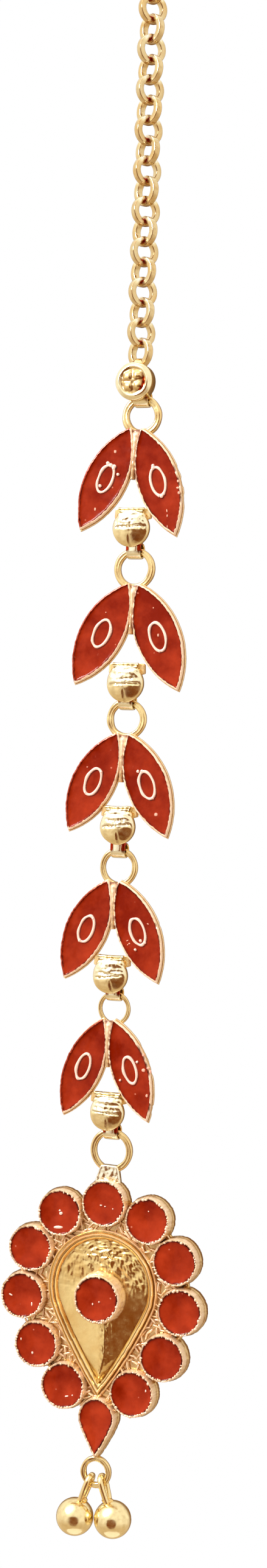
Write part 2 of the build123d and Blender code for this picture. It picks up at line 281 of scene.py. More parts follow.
def drop_loop(drop, grow, steps):
    """Round a drop, point down, moved out by grow: a round top whose sides close in two long arcs."""
    angle = math.radians(drop.shoulder)
    reach = drop.length * math.sin(angle)
    side_radius = (drop.radius**2 - 2 * drop.radius * reach + drop.length**2) / (2 * (drop.radius - reach))
    side_across = (drop.radius - side_radius) * math.cos(angle)
    side_up = -(drop.radius - side_radius) * math.sin(angle)
    grow = np.broadcast_to(grow, (steps,))
    tip = side_up - np.sqrt(np.maximum((side_radius + grow) ** 2 - side_across**2, 0))
    tip_angle = np.arctan2(tip - side_up, -side_across)
    quarter = steps // 4
    share = np.linspace(0, 1, quarter, endpoint=False)
    # right side, from the tip up to the shoulder
    turn = tip_angle[:quarter] + (-angle - tip_angle[:quarter]) * share
    radius = side_radius + grow[:quarter]
    right = np.column_stack((side_across + radius * np.cos(turn), side_up + radius * np.sin(turn)))
    # round top, from the right shoulder to the left one
    turn = -angle + (math.pi + 2 * angle) * np.linspace(0, 1, 2 * quarter, endpoint=False)
    radius = drop.radius + grow[quarter:-quarter]
    top = np.column_stack((radius * np.cos(turn), radius * np.sin(turn)))
    # left side, from the shoulder down to the tip
    turn = -angle + (tip_angle[-quarter:] + angle) * share
    radius = side_radius + grow[-quarter:]
    left = np.column_stack((-side_across - radius * np.cos(turn), side_up + radius * np.sin(turn)))
    return np.vstack((right, top, left)) + np.array([drop.across, drop.up])


def at_depth(loop, depth):
    """A loop of (across, up) set at a depth, or at a depth for each of its points."""
    return np.column_stack((loop[:, 0], np.broadcast_to(depth, len(loop)), loop[:, 1]))


def to_scene(points):
    """Points of (across, forwards, up) in millimetres, as the scene's own in metres."""
    across, forwards, up = np.asarray(points).T
    return (np.column_stack((across, -forwards, up)) * MM).tolist()


def add_object(name, data):
    """Puts a mesh, a light or a camera into the scene."""
    made = bpy.data.objects.new(name, data)
    bpy.context.scene.collection.objects.link(made)
    return made


# ---------- solid work ----------

class Work:
    """One piece in the making: closed shells, with the shade and grime and the blush at each of their points.

    Shade and grime is painted shade in grooves, joints and hollows, together with dirt: up to 1 it is
    red-brown, and above that deep red, mostly painted shade where chain links and straps touch. On enamel
    it is painted shade along the rim. Blush is the metal's tone: towards -2 it is white, a painted highlight
    on the chain's tops and the bosses' upper halves and worn white elsewhere, -1 where it is worn to a pale
    yellow, 0 for plain gold, 1 for a rosy tint beside the enamel that is a painted reflection of it, and
    more for the pale lumps that are painted highlights. On enamel it says how much lighter the red is, a
    painted sheen.
    """

    def __init__(self):
        self.points = []
        self.shade_and_grime = []
        self.blush = []
        self.faces = []
        self.count = 0

    def skin(self, loops, shade_and_grime=0.0, blush=0.0, ring=False):
        """Joins loops of equally many points: capped at both ends, or the last joined to the first."""
        loops = np.asarray(loops, float)
        rows, columns = loops.shape[:2]
        index = self.count + np.arange(rows * columns).reshape(rows, columns)
        turned = np.roll(index, -1, axis=1)
        for row in range(rows if ring else rows - 1):
            following = (row + 1) % rows
            quads = (index[row], turned[row], turned[following], index[following])
            self.faces += np.column_stack(quads).tolist()
        if not ring:
            self.faces.append(index[0][::-1].tolist())
            self.faces.append(index[-1].tolist())
        self.points.append(loops.reshape(-1, 3))
        for store, value in ((self.shade_and_grime, shade_and_grime), (self.blush, blush)):
            spread = np.asarray(value, float)
            if spread.ndim == 1:
                spread = spread[:, None]
            store.append(np.broadcast_to(spread, (rows, columns)).reshape(-1).clip(-2, 2))
        self.count += rows * columns

    def skin_rows(self, rows, ring=False):
        """The same from rows of a loop, its shade and grime and its blush: one value, or one for each point.
        """
        loops, shade_and_grime_rows, blushes = zip(*rows)
        across = len(loops[0])
        shade_and_grime = [np.broadcast_to(value, across) for value in shade_and_grime_rows]
        blush = [np.broadcast_to(value, across) for value in blushes]
        self.skin(loops, np.array(shade_and_grime), np.array(blush), ring)

    def sweep(self, path, binormal, section, closed=False, scale=None, shade_and_grime=0.0, blush=0.0):
        """A section of (in the path's plane, across it) carried along a flat path."""
        path = np.asarray(path, float)
        binormal = np.asarray(binormal, float)
        if closed:
            tangent = np.roll(path, -1, axis=0) - np.roll(path, 1, axis=0)
        else:
            tangent = np.gradient(path, axis=0)
        tangent /= np.linalg.norm(tangent, axis=1)[:, None]
        normal = np.cross(binormal, tangent)
        scale = np.ones(len(path)) if scale is None else scale
        loops = [
            point + size * (section[:, :1] * side + section[:, 1:] * binormal)
            for point, side, size in zip(path, normal, scale)
        ]
        self.skin(loops, shade_and_grime, blush, ring=closed)

    def bead(self, middle, radii, seed, blush=0.0):
        """A small rounded lump."""
        steps = 12
        turn = full_turn(steps)
        uneven = 1 + 0.12 * waver(steps, seed, 3)
        loops = [
            np.column_stack((
                middle[0] + radii[0] * math.cos(row) * np.cos(turn) * uneven,
                np.full(steps, middle[1] + radii[1] * math.sin(row)),
                middle[2] + radii[2] * math.cos(row) * np.sin(turn) * uneven,
            ))
            for row in np.linspace(-0.5, 0.5, 9)[1:-1] * math.pi
        ]
        self.skin(loops, 0.0, blush)

    def mesh(self, name):
        """The plain mesh, in metres, with both attributes."""
        mesh = bpy.data.meshes.new(name)
        mesh.from_pydata(to_scene(np.vstack(self.points)), [], self.faces)
        for label, store in (("shade_and_grime", self.shade_and_grime), ("blush", self.blush)):
            layer = mesh.attributes.new(label, "FLOAT", "POINT")
            layer.data.foreach_set("value", np.concatenate(store).astype(np.float32))
        return mesh

    def piece(self, name, material, slot, body, nodes, sharp=50.0):
        """Makes the finished piece, riding on its body and standing for its nodes."""
        return finish_mesh(self.mesh(name), name, material, body, nodes, sharp)


def finish_mesh(mesh, name, material, body, nodes=(), sharp=50.0):
    """Turns faces outwards, marks sharp edges and makes the mesh a piece of its body."""
    work = bmesh.new()
    work.from_mesh(mesh)
    bmesh.ops.recalc_face_normals(work, faces=work.faces)
    work.to_mesh(mesh)
    work.free()
    mesh.shade_smooth()
    mesh.set_sharp_from_angle(angle=math.radians(sharp))
    mesh.materials.clear()
    mesh.materials.append(material)
    piece = add_object(name, mesh)
    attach(piece, body)
    if nodes:
        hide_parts(*nodes)
    return piece


def wire_section(radius, across=None, power=2.3, steps=20):
    """A slightly squared round section."""
    across = radius if across is None else across
    turn = full_turn(steps)
    rounding = 2 / power
    first = np.sign(np.cos(turn)) * abs(np.cos(turn)) ** rounding
    second = np.sign(np.sin(turn)) * abs(np.sin(turn)) ** rounding
    return np.column_stack((radius * first, across * second))


# ---------- materials ----------

class Shading:
    """The nodes of a material or of the world, and short ways to add the usual ones."""

    def __init__(self, tree):
        tree.nodes.clear()
        self.nodes = tree.nodes
        self.links = tree.links

    def add(self, kind, **inputs):
        """A node, with its named inputs linked or set to plain values."""
        node = self.nodes.new("ShaderNode" + kind)
        for name, value in inputs.items():
            self.feed(node.inputs[name.replace("_", " ")], value)
        return node

    def feed(self, socket, value):
        """Links an output to a socket, or gives the socket a plain value, such as a colour."""
        if isinstance(value, bpy.types.NodeSocket):
            self.links.new(value, socket)
        elif socket.type == "RGBA":
            socket.default_value = (*value, 1)
        else:
            socket.default_value = value

    def noise(self, coordinates, size, detail, roughness=0.5):
        """Noise with lumps of about the given size in millimetres."""
        scale = 1 / (size * MM)
        texture = self.add("TexNoise", Vector=coordinates, Scale=scale, Detail=detail, Roughness=roughness)
        return texture.outputs["Fac"]

    def mix(self, factor, first, second):
        """One colour over another."""
        mix = self.nodes.new("ShaderNodeMix")
        mix.data_type = "RGBA"
        for name, value in (("Factor", factor), ("A", first), ("B", second)):
            self.feed(mix.inputs[name], value)
        return mix.outputs["Result"]

    def map_range(self, value, low, high, to_low, to_high, smooth=True):
        ends = {"From_Min": low, "From_Max": high, "To_Min": to_low, "To_Max": to_high}
        mapping = self.add("MapRange", Value=value, **ends)
        mapping.interpolation_type = "SMOOTHSTEP" if smooth else "LINEAR"
        return mapping.outputs["Result"]

    def bump(self, height, strength, distance, **after):
        node = self.add("Bump", Strength=strength, Distance=distance * MM, Height=height, **after)
        return node.outputs["Normal"]

    def attribute(self, name):
        node = self.nodes.new("ShaderNodeAttribute")
        node.attribute_name = name
        return node.outputs["Fac"]

    def operate(self, kind, operation, *values):
        """A node whose inputs are given in their order, such as a sum on numbers or on vectors."""
        node = self.nodes.new("ShaderNode" + kind)
        if operation:
            node.operation = operation
        for socket, value in zip(node.inputs, values):
            self.feed(socket, value)
        return node


def new_material(name):
    """A new material: the material, its nodes, its one shader and the coordinates of the piece."""
    material = bpy.data.materials.new(name)
    material.use_nodes = True
    shading = Shading(material.node_tree)
    shader = shading.add("BsdfPrincipled")
    shading.add("OutputMaterial", Surface=shader.outputs["BSDF"])
    return material, shading, shader, shading.add("TexCoord").outputs["Object"]


def gold_material(name, pale, deep, ripple_size, ripple_depth):
    """Worn gold plate over a cast surface, rosy beside the enamel as a painted reflection of it, with painted
    highlights, and brown painted shade with dirt in its grooves.
    """
    material, shading, shader, coordinates = new_material(name)
    shade_and_grime = shading.attribute("shade_and_grime")
    blush = shading.attribute("blush")
    patches = shading.map_range(shading.noise(coordinates, 1.6, 4), 0.35, 0.7, 0, 1)
    pink_patches = shading.map_range(shading.noise(coordinates, 0.5, 3, 0.6), 0.3, 0.6, 0.6, 1.0)
    speckle = shading.map_range(shading.noise(coordinates, 0.35, 3, 0.6), 0.3, 0.6, 0.6, 1.0)
    pink_reflection = shading.operate("Math", "MULTIPLY", blush, pink_patches).outputs["Value"]
    speckled_shade_and_dirt = shading.operate("Math", "MULTIPLY", shade_and_grime, speckle).outputs["Value"]
    colour = shading.mix(patches, pale, deep)
    # pale and white: wear and painted highlights; pink: a painted reflection of the enamel; brown and deep
    # red: painted shade with dirt
    for share, over in (
        (shading.map_range(blush, -1, 0, 1, 0, smooth=False), PALE_WEAR_AND_HIGHLIGHT),
        (shading.map_range(blush, -1.9, -1, 1, 0, smooth=False), WHITE_HIGHLIGHT_AND_WEAR),
        (pink_reflection, PINK_REFLECTION),
        (shading.map_range(blush, 1.0, 1.6, 0, 1), ROSY_REFLECTION),
        (speckled_shade_and_dirt, BROWN_SHADE_AND_DIRT),
        (shading.map_range(shade_and_grime, 1.0, 1.5, 0, 1), DEEP_RED_SHADE_AND_DIRT),
    ):
        colour = shading.mix(share, colour, over)
    wear = shading.noise(coordinates, 0.7, 5, 0.6)
    waves = shading.bump(shading.noise(coordinates, ripple_size, 2), 0.7, ripple_depth)
    grain = shading.bump(shading.noise(coordinates, 0.16, 3, 0.6), 0.35, 0.009, Normal=waves)
    for socket, value in (
        ("Base Color", colour),
        ("Metallic", shading.map_range(pink_reflection, 0, 1, 1.0, 0.2, smooth=False)),
        ("Roughness", shading.map_range(wear, 0.3, 0.75, 0.10, 0.30)),
        ("Normal", grain),
    ):
        shading.feed(shader.inputs[socket], value)
    return material


def enamel_material(name, dark, light, speck):
    """Glossy red enamel: cloudy, with painted shade at its rim, a painted sheen in places, pale specks, and
    pale lumps that are painted highlights.
    """
    material, shading, shader, coordinates = new_material(name)
    blush = shading.attribute("blush")
    clouds = shading.noise(coordinates, 2.0, 5, 0.6)
    cloud = shading.map_range(clouds, 0.32, 0.68, -0.2, 0.5, smooth=False)
    # the painted sheen from the blush, over random clouds
    sheen_and_cloud = shading.operate("Math", "MULTIPLY_ADD", blush, 0.75, cloud)
    sheen_and_cloud.use_clamp = True
    cells = shading.add("TexVoronoi", Vector=coordinates, Scale=1 / (1.5 * MM), Randomness=1.0)
    smears = shading.noise(coordinates, 0.8, 6, 0.7)
    colour = shading.mix(sheen_and_cloud.outputs["Value"], dark, light)
    for share, over in (
        # painted shade along the rim, and pale lumps that are painted highlights
        (shading.attribute("shade_and_grime"), ENAMEL_RIM_SHADE),
        (shading.map_range(blush, 1.2, 1.8, 0, 1), PALE_LUMP_HIGHLIGHT),
        (shading.map_range(cells.outputs["Distance"], 0.03, 0.075, 0.9, 0), speck),
        (shading.map_range(smears, 0.66, 0.78, 0, 0.5), speck),
    ):
        colour = shading.mix(share, colour, over)
    gloss = shading.noise(coordinates, 0.9, 4)
    waves = shading.bump(shading.noise(coordinates, 1.2, 2), 0.6, 0.06)
    pits = shading.bump(shading.noise(coordinates, 0.24, 2), 0.25, 0.014, Normal=waves)
    for socket, value in (
        ("Base Color", colour),
        ("IOR", 1.5),
        ("Specular IOR Level", 0.10),
        ("Roughness", shading.map_range(gloss, 0.3, 0.7, 0.08, 0.2)),
        ("Normal", pits),
    ):
        shading.feed(shader.inputs[socket], value)
    return material


def plain_material(name, colour, roughness):
    material, shading, shader, coordinates = new_material(name)
    paper = shading.noise(coordinates, 40.0, 4)
    shading.feed(shader.inputs["Base Color"], shading.mix(paper, colour, tuple(0.97 * c for c in colour)))
    shading.feed(shader.inputs["Roughness"], roughness)
    return material


# ---------- shared parts of the metalwork ----------

def band_section(wire):
    """The section of a jump ring, and its painted shade: a squared wire with a worn groove along its front,
    darker in the groove and along both edges.
    """
    steps = 28
    section = wire_section(wire, wire * 0.92, 2.9, steps)
    dent = 0.18 * wire * hump(section[:, 0], -0.1 * wire, 0.25 * wire) * (section[:, 1] > 0)
    edge = 0.5 * (np.abs(section[:, 0]) > 0.85 * wire)
    return section - np.column_stack((np.zeros(steps), dent)), 0.5 * dent / dent.max() + edge


def jump_ring(work, middle, ring, seed, forwards=0.0):
    """A ring of wire that faces the front, a little out of round."""
    radius, wire = ring
    steps = 110
    turn = full_turn(steps)
    wander = radius * (1 + 0.012 * waver(steps, seed, 3))
    path = np.column_stack((
        middle[0] + wander * np.cos(turn),
        np.full(steps, forwards) + 0.02 * waver(steps, seed + 1, 2),
        middle[1] + wander * np.sin(turn),
    ))
    size = 1 + 0.06 * waver(steps, seed + 2, 7)
    section, shade_and_dirt = band_section(wire)
    # painted shade in the groove and along the edges, stronger in some places round the ring
    painted_shade = shade_and_dirt[None, :] * (0.6 + 0.6 * waver(steps, seed + 3, 6)[:, None])
    work.sweep(path, (0, 1, 0), section, closed=True, scale=size, shade_and_grime=painted_shade, blush=-0.3)


def boss_relief(across, up, seed, bordered):
    """Height, shade and grime, and tone over a boss, in shares of its radius.

    A bordered face is a pale border round a hollow with four lumps and a red crescent at its right.
    The others are domes whose upper half is beaten into level folds and paler, a painted highlight, over a
    smooth lower half that is darker with painted shade and a painted dark reflection at its right.
    """
    rng = np.random.default_rng(seed)
    turn = math.radians(rng.uniform(-8, 8))
    side = across * math.cos(turn) + up * math.sin(turn)
    rise = up * math.cos(turn) - across * math.sin(turn)
    out = np.hypot(across, up)
    dome = np.sqrt(np.maximum(1 - (0.92 * out) ** 2, 0)) - 1
    strokes = ripple(across * 0.45, up * 1.7, 0.32, seed) + 0.35 * ripple(across, up, 0.15, seed + 5)
    if bordered:
        inside = 1 - step(out, 0.62, 0.78)
        border = hump(out, 0.80, 0.10) * (0.6 + 0.4 * step(up, -0.6, 0.2))
        lump = np.exp(-(((np.abs(side) - 0.30) / 0.21) ** 4) - (((np.abs(rise) - 0.28) / 0.19) ** 4))
        height = 0.34 * dome + 0.055 * border + inside * (0.075 * lump + 0.02 * strokes - 0.05)
        crescent = hump(out, 0.60, 0.07) * step(across, 0.25, 0.45) * step(-up, -0.5, 0.1)
        shade_and_grime = inside * (0.12 + 0.40 * (1 - lump)) + 1.5 * crescent
        return height, np.clip(shade_and_grime, 0, 1.6), -1.2 + 1.1 * inside
    inside = 1 - step(out, 0.80, 0.93)
    upper = step(rise, -0.25, 0.10)
    # two level cuts, the second one broken, and an upright crease below them
    first_up = rng.uniform(-0.05, 0.12) + 0.06 * ripple(side, side * 0, 0.5, seed + 2)
    first_cut = hump(rise, first_up, 0.045) * step(0.9 - out, 0.0, 0.15)
    broken = step(ripple(side, side * 0, 0.35, seed + 1), -0.2, 0.2)
    second_up = first_up + rng.uniform(0.24, 0.34)
    second_cut = broken * hump(rise, second_up, 0.04) * step(0.8 - out, 0.0, 0.15)
    crease = hump(side, rng.uniform(-0.1, 0.1), 0.045) * step(-rise, 0.25, 0.6)
    height = 0.40 * dome + inside * (upper * 0.055 * strokes + 0.012 * strokes)
    height = height - 0.06 * first_cut - 0.05 * second_cut - 0.035 * crease
    # painted shade in the hollows and cuts, over the lower half and round the edge, a painted dark reflection
    # at the lower right, and a pale painted highlight over the upper half
    hollow = upper * np.maximum(-strokes - 0.2, 0)
    darkening = np.exp(-(((side - 0.25) / 0.28) ** 2) - (((rise + 0.52) / 0.20) ** 2))
    low = step(-rise, -0.05, 0.35) * inside
    cuts = 0.40 * hollow * inside + 0.55 * first_cut + 0.40 * second_cut + 0.45 * crease
    shade_and_grime = cuts + 0.42 * darkening + 0.10 * low + 0.35 * step(out, 0.96, 1.0)
    return height, np.clip(shade_and_grime, 0, 1), -1.25 * upper - 0.55 * (1 - upper)


def boss(work, middle, radius, front, seed, bordered=False):
    """A round boss: a short barrel wall under a low dome with a beaten, worn face and, on a plain dome, a
    painted highlight above and painted shade below.
    """
    steps = 84
    turn = full_turn(steps)
    edge = front + radius * boss_relief(np.ones(1), np.zeros(1), seed, bordered)[0][0]
    wall = (
        # share of the radius, depth, shade and grime (painted shade at the foot of the wall)
        (0.86, BOSS_BACK, 0.6),
        (0.95, BOSS_BACK + 0.02, 0.5),
        (0.985, BOSS_BACK + 0.08, 0.2),
        (1.0, edge - 0.16, 0.0),
        (1.0, edge - 0.06, 0.0),
    )
    rows = [(share, depth, shade_and_dirt, -0.4) for share, depth, shade_and_dirt in wall]
    for share in np.linspace(0.99, 0.02, 34):
        height, shade_and_dirt, tone = boss_relief(share * np.cos(turn), share * np.sin(turn), seed, bordered)
        rows.append((share, front + radius * height, shade_and_dirt, tone))
    uneven = 1 + 0.012 * waver(steps, seed)
    work.skin_rows([
        (at_depth(round_loop(middle, radius * share * uneven, steps), depth), shade_and_dirt, tone)
        for share, depth, shade_and_dirt, tone in rows
    ])


def eyelet(work, across, wire_up, bore, boss_bottom):
    """A strap that comes down behind a boss, folds round a ring's wire and closes behind it."""
    middle_line = bore + STRAP
    start = boss_bottom + 0.45
    drop = np.linspace(start, wire_up, 12, endpoint=False)
    front = np.column_stack((np.full(12, middle_line), drop))
    turn = np.linspace(0, -1.86 * math.pi, 56)
    fold = np.column_stack((middle_line * np.cos(turn), wire_up + middle_line * np.sin(turn)))
    side = np.vstack((front, fold))
    path = np.column_stack((np.full(len(side), across), side))
    section = wire_section(STRAP, STRAP_WIDTH / 2, 5.0, 36)
    # painted shade, deep red, along both edges of the front where it passes over the ring's wire, and a pale,
    # worn fold
    sides = step(abs(section[:, 1]) / (STRAP_WIDTH / 2), 0.35, 0.75)
    low = wire_up - 0.25
    shade = step(side[:, 1], low, low + 0.35) * (side[:, 0] > 0)
    tone = -1.3 * step(start - side[:, 1], 0.2, 0.5) * (side[:, 0] > 0)
    work.sweep(path, (1, 0, 0), section, shade_and_grime=1.5 * shade[:, None] * sides[None, :], blush=tone[:, None])
    # a narrow tongue on the strap's front, wider at its top
    tongue_width = 0.34 + 0.10 * np.linspace(1, 0, 20) ** 2
    section = wire_section(0.09, 1.0, 4.0, 20)
    loops = [
        point + (0, 0.07, 0) + np.column_stack((size * section[:, 1], section[:, 0], np.zeros(20)))
        for point, size in zip(path[:14], tongue_width)
    ]
    work.skin(loops, 0.0, -1.4)


def bore_for(ring):
    """How wide a strap has to be folded to clear a ring's curved wire."""
    radius, wire = ring
    return radius - math.sqrt((radius - wire) ** 2 - (STRAP_WIDTH / 2) ** 2) + 0.05


def rounded_slab(work, corners, back, front, edge, shade_and_grime=0.0, blush=0.0, sway=0.0, seed=0, relief=0.0):
    """A plate with a straight-sided outline, rounded edges and, with relief, a rippled front."""
    corners = np.array(corners, float)
    points = []
    for corner, following in zip(corners, np.roll(corners, -1, axis=0)):
        for share in np.linspace(0, 1, 14, endpoint=False):
            points.append(corner + share * (following - corner))
    outline = np.array(points)
    for _ in range(3):
        outline = (np.roll(outline, 1, axis=0) + 2 * outline + np.roll(outline, -1, axis=0)) / 4
    middle = outline.mean(0)
    reach = np.linalg.norm(outline - middle, axis=1)[:, None]
    outward = (outline - middle) / reach
    outline = outline + outward * (sway * waver(len(outline), seed))[:, None]
    rows = [(-3 * edge, back), (-edge, back), (0, back + edge), (0, front - edge)]
    rows += [(-edge * 0.4, front - edge * 0.3), (-edge, front)]
    if not relief:
        rows.append((-3 * edge, front))
    loops = [at_depth(outline + outward * grow, depth) for grow, depth in rows]
    if relief:
        for share in np.linspace(0.88, 0.08, 14):
            loop = middle + (outline - middle) * share
            loops.append(at_depth(loop, front + relief * ripple(loop[:, 0], loop[:, 1], 0.3, seed)))
    work.skin(loops, shade_and_grime, blush)


# ---------- hair hook and chain ----------

def make_hair_hook(gold):
    """One bent wire: a crown over the lock of hair, a free tip behind and a soldered eye below."""
    crown = np.linspace(0, math.pi, 40)
    tip = np.linspace(HOOK_TIP_UP, HOOK_CROWN_UP, 12, endpoint=False)
    behind = np.column_stack((np.full(12, -HOOK_CROWN), tip))
    over = np.column_stack((-HOOK_CROWN * np.cos(crown), HOOK_CROWN_UP + HOOK_CROWN * np.sin(crown)))
    shank = (
        # forwards, up
        (2.2, -2.4), (2.2, -3.4), (2.2, -4.0), (2.1, -4.5), (1.75, -5.0),
        (1.3, -5.5), (0.75, -6.05), (0.25, -6.6), (0.06, -6.95), (0.0, -7.35),
    )
    side = np.vstack((behind, over, shank))
    path = np.column_stack((np.zeros(len(side)), side))
    thickness = np.ones(len(path))
    thickness[:2] = 0.45, 0.85
    work = Work()
    work.sweep(path, (1, 0, 0), wire_section(HOOK_WIRE), scale=thickness)
    turn = full_turn(64)
    eye = np.column_stack((
        np.zeros(64), HOOK_EYE_RADIUS * np.cos(turn), HOOK_EYE_UP + HOOK_EYE_RADIUS * np.sin(turn),
    ))
    work.sweep(eye, (1, 0, 0), wire_section(HOOK_EYE_WIRE), closed=True)
    work.bead((0, 0, -7.45), (0.36, 0.42, 0.30), 5)
    work.piece("hair_hook_wire", gold, "gold_metal", "strand", ["hair_hook"])


def chain_link_source(gold):
    """One round link of flat-sided wire, with painted shade: deep red where it touches the next, red-brown
    along its corners and lower part; and a painted white highlight over its top.
    """
    steps = 44
    section = wire_section(CHAIN_WIRE, CHAIN_BAND, 5.5, 32)
    turn = full_turn(steps)
    path = np.column_stack((CHAIN_RADIUS * np.cos(turn), np.zeros(steps), CHAIN_RADIUS * np.sin(turn)))
    # painted shade, deep red on the inner faces where links touch and red-brown along the corners below the
    # top; a painted white highlight on the outer faces of the top
    contact_shade = step(abs(np.sin(turn)), 0.70, 0.94)
    inner = np.where(section[:, 0] < -0.2 * CHAIN_WIRE, 1.5, 0.0)
    corner = 0.16 + 0.5 * hump(abs(np.sin(2 * full_turn(len(section)))), 1, 0.14)
    top = step(np.sin(turn), 0.45, 0.85)
    shade_and_dirt = np.maximum(contact_shade[:, None] * inner[None, :], corner[None, :] * (1 - top)[:, None])
    tone = (-1.9 * top)[:, None] * np.where(section[:, 0] > 0, 1.0, 0.0)[None, :]
    work = Work()
    work.sweep(path, (0, 1, 0), section, closed=True, shade_and_grime=shade_and_dirt, blush=tone)
    mesh = work.mesh("link_source")
    mesh.materials.append(gold)
    return add_object("link_source", mesh)


def new_tree(name, inputs):
    """A geometry tree with named inputs and one geometry output."""
    tree = bpy.data.node_groups.new(name, "GeometryNodeTree")
    tree.interface.new_socket(name="Geometry", in_out="INPUT", socket_type="NodeSocketGeometry")
    for label, kind in inputs:
        tree.interface.new_socket(name=label, in_out="INPUT", socket_type="NodeSocket" + kind)
    tree.interface.new_socket(name="Geometry", in_out="OUTPUT", socket_type="NodeSocketGeometry")
    return tree, tree.nodes.new("NodeGroupInput"), tree.nodes.new("NodeGroupOutput")


def tree_math(tree, operation, first, second, kind="ShaderNodeMath"):
    """A sum on numbers, or on vectors with the vector kind."""
    node = tree.nodes.new(kind)
    node.operation = operation
    for socket, value in zip(node.inputs, (first, second)):
        if isinstance(value, (int, float)):
            socket.default_value = value
        else:
            tree.links.new(value, socket)
    return node.outputs[0]


def tree_vector(tree, **parts):
    """A vector with the given parts linked or set."""
    combine = tree.nodes.new("ShaderNodeCombineXYZ")
    for axis, value in parts.items():
        if isinstance(value, float):
            combine.inputs[axis].default_value = value
        else:
            tree.links.new(value, combine.inputs[axis])
    return combine.outputs["Vector"]


def random_vector(tree, low, high, seed):
    """A random vector, with each of its parts between two numbers."""
    node = tree.nodes.new("FunctionNodeRandomValue")
    node.data_type = "FLOAT_VECTOR"
    for label, end in (("Min", low), ("Max", high)):
        tree.links.new(tree_vector(tree, X=end, Y=end, Z=end), node.inputs[label])
    tree.links.new(seed, node.inputs["Seed"])
    return node.outputs["Value"]


def place_copies(tree, leave, points, instance, rotation, metal, scale=None):
    """Ends a tree: a copy on every point, made real, smooth and in its metal."""
    place = tree.nodes.new("GeometryNodeInstanceOnPoints")
    tree.links.new(points, place.inputs["Points"])
    tree.links.new(instance, place.inputs["Instance"])
    tree.links.new(rotation, place.inputs["Rotation"])
    if scale is not None:
        tree.links.new(scale, place.inputs["Scale"])
    geometry = place.outputs["Instances"]
    for kind in ("RealizeInstances", "SetShadeSmooth", "SetMaterial"):
        node = tree.nodes.new("GeometryNode" + kind)
        tree.links.new(geometry, node.inputs["Geometry"])
        geometry = node.outputs["Geometry"]
    tree.links.new(metal, node.inputs["Material"])
    tree.links.new(geometry, leave.inputs["Geometry"])


def chain_tree():
    """Links down a straight line, each turned across the one before, then made real."""
    tree, entry, leave = new_tree("chain_of_links", (
        ("Link", "Object"),
        ("Link count", "Int"),
        ("Pitch", "Float"),
        ("First turn", "Float"),
        ("Turn between links", "Float"),
        ("Unevenness", "Float"),
        ("Seed", "Int"),
        ("Metal", "Material"),
    ))
    given = entry.outputs
    line = tree.nodes.new("GeometryNodeMeshLine")
    line.mode = "OFFSET"
    tree.links.new(given["Link count"], line.inputs["Count"])
    down = tree_vector(tree, Z=tree_math(tree, "MULTIPLY", given["Pitch"], -1.0))
    tree.links.new(down, line.inputs["Offset"])
    index = tree.nodes.new("GeometryNodeInputIndex").outputs["Index"]
    odd = tree_math(tree, "MODULO", index, 2.0)
    odd_turn = tree_math(tree, "MULTIPLY", odd, given["Turn between links"])
    upright = tree_vector(tree, Z=tree_math(tree, "ADD", given["First turn"], odd_turn))
    spread = given["Unevenness"]
    wobble = random_vector(tree, tree_math(tree, "MULTIPLY", spread, -1.0), spread, given["Seed"])
    rotation = tree_math(tree, "ADD", upright, wobble, "ShaderNodeVectorMath")
    source = tree.nodes.new("GeometryNodeObjectInfo")
    tree.links.new(given["Link"], source.inputs["Object"])
    links = source.outputs["Geometry"]
    place_copies(tree, leave, line.outputs["Mesh"], links, rotation, given["Metal"])
    return tree


def grain_tree():
    """A small uneven grain of metal on every point it is given, then made real."""
    tree, entry, leave = new_tree("grains_of_metal", (
        ("Grain radius", "Float"),
        ("Smallest share", "Float"),
        ("Largest share", "Float"),
        ("Stretch", "Float"),
        ("Largest turn", "Float"),
        ("Seed", "Int"),
        ("Metal", "Material"),
    ))
    given = entry.outputs
    grain = tree.nodes.new("GeometryNodeMeshUVSphere")
    grain.inputs["Segments"].default_value = 8
    grain.inputs["Rings"].default_value = 6
    tree.links.new(given["Grain radius"], grain.inputs["Radius"])
    size = random_vector(tree, given["Smallest share"], given["Largest share"], given["Seed"])
    longer = tree_vector(tree, X=1.0, Y=1.0, Z=given["Stretch"])
    stretched = tree_math(tree, "MULTIPLY", size, longer, "ShaderNodeVectorMath")
    turn = tree.nodes.new("FunctionNodeRandomValue")
    turn.data_type = "FLOAT"
    tree.links.new(given["Largest turn"], turn.inputs[3])
    tree.links.new(given["Seed"], turn.inputs["Seed"])
    lying = tree_vector(tree, Y=turn.outputs[1])
    place_copies(tree, leave, given["Geometry"], grain.outputs["Mesh"], lying, given["Metal"], stretched)
    return tree


def run_tree(tree, base, values):
    """Evaluates a tree on a base mesh with the given inputs, and returns the plain mesh."""
    carrier = add_object("carrier", base)
    modifier = carrier.modifiers.new("tree", "NODES")
    modifier.node_group = tree
    for item in tree.interface.items_tree:
        if item.in_out == "INPUT" and item.name in values:
            modifier[item.identifier] = values[item.name]
    bpy.context.view_layer.update()
    graph = bpy.context.evaluated_depsgraph_get()
    mesh = bpy.data.meshes.new_from_object(
        carrier.evaluated_get(graph), preserve_all_data_layers=True, depsgraph=graph
    )
    bpy.data.objects.remove(carrier)
    return mesh


def points_mesh(name, points):
    """A mesh of loose points."""
    mesh = bpy.data.meshes.new(name)
    mesh.from_pydata(to_scene(points), [], [])
    return mesh


def make_chain(gold):
    """The fine chain: round links, each one through the next."""
    low, high = (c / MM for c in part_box("chain"))
    source = chain_link_source(gold)
    mesh = run_tree(chain_tree(), points_mesh("chain_base", [(0, 0, 0)]), {
        "Link": source,
        "Link count": CHAIN_LINKS,
        "Pitch": CHAIN_PITCH * MM,
        "First turn": math.radians(-28),
        "Turn between links": math.radians(80),
        "Unevenness": math.radians(2.0),
        "Seed": 4,
        "Metal": gold,
    })
    bpy.data.objects.remove(source)
    mesh.transform(Matrix.Translation(Vector(((low.x + high.x) / 2, 0, CHAIN_TOP)) * MM))
    finish_mesh(mesh, "chain_links", gold, "strand", ["chain"])


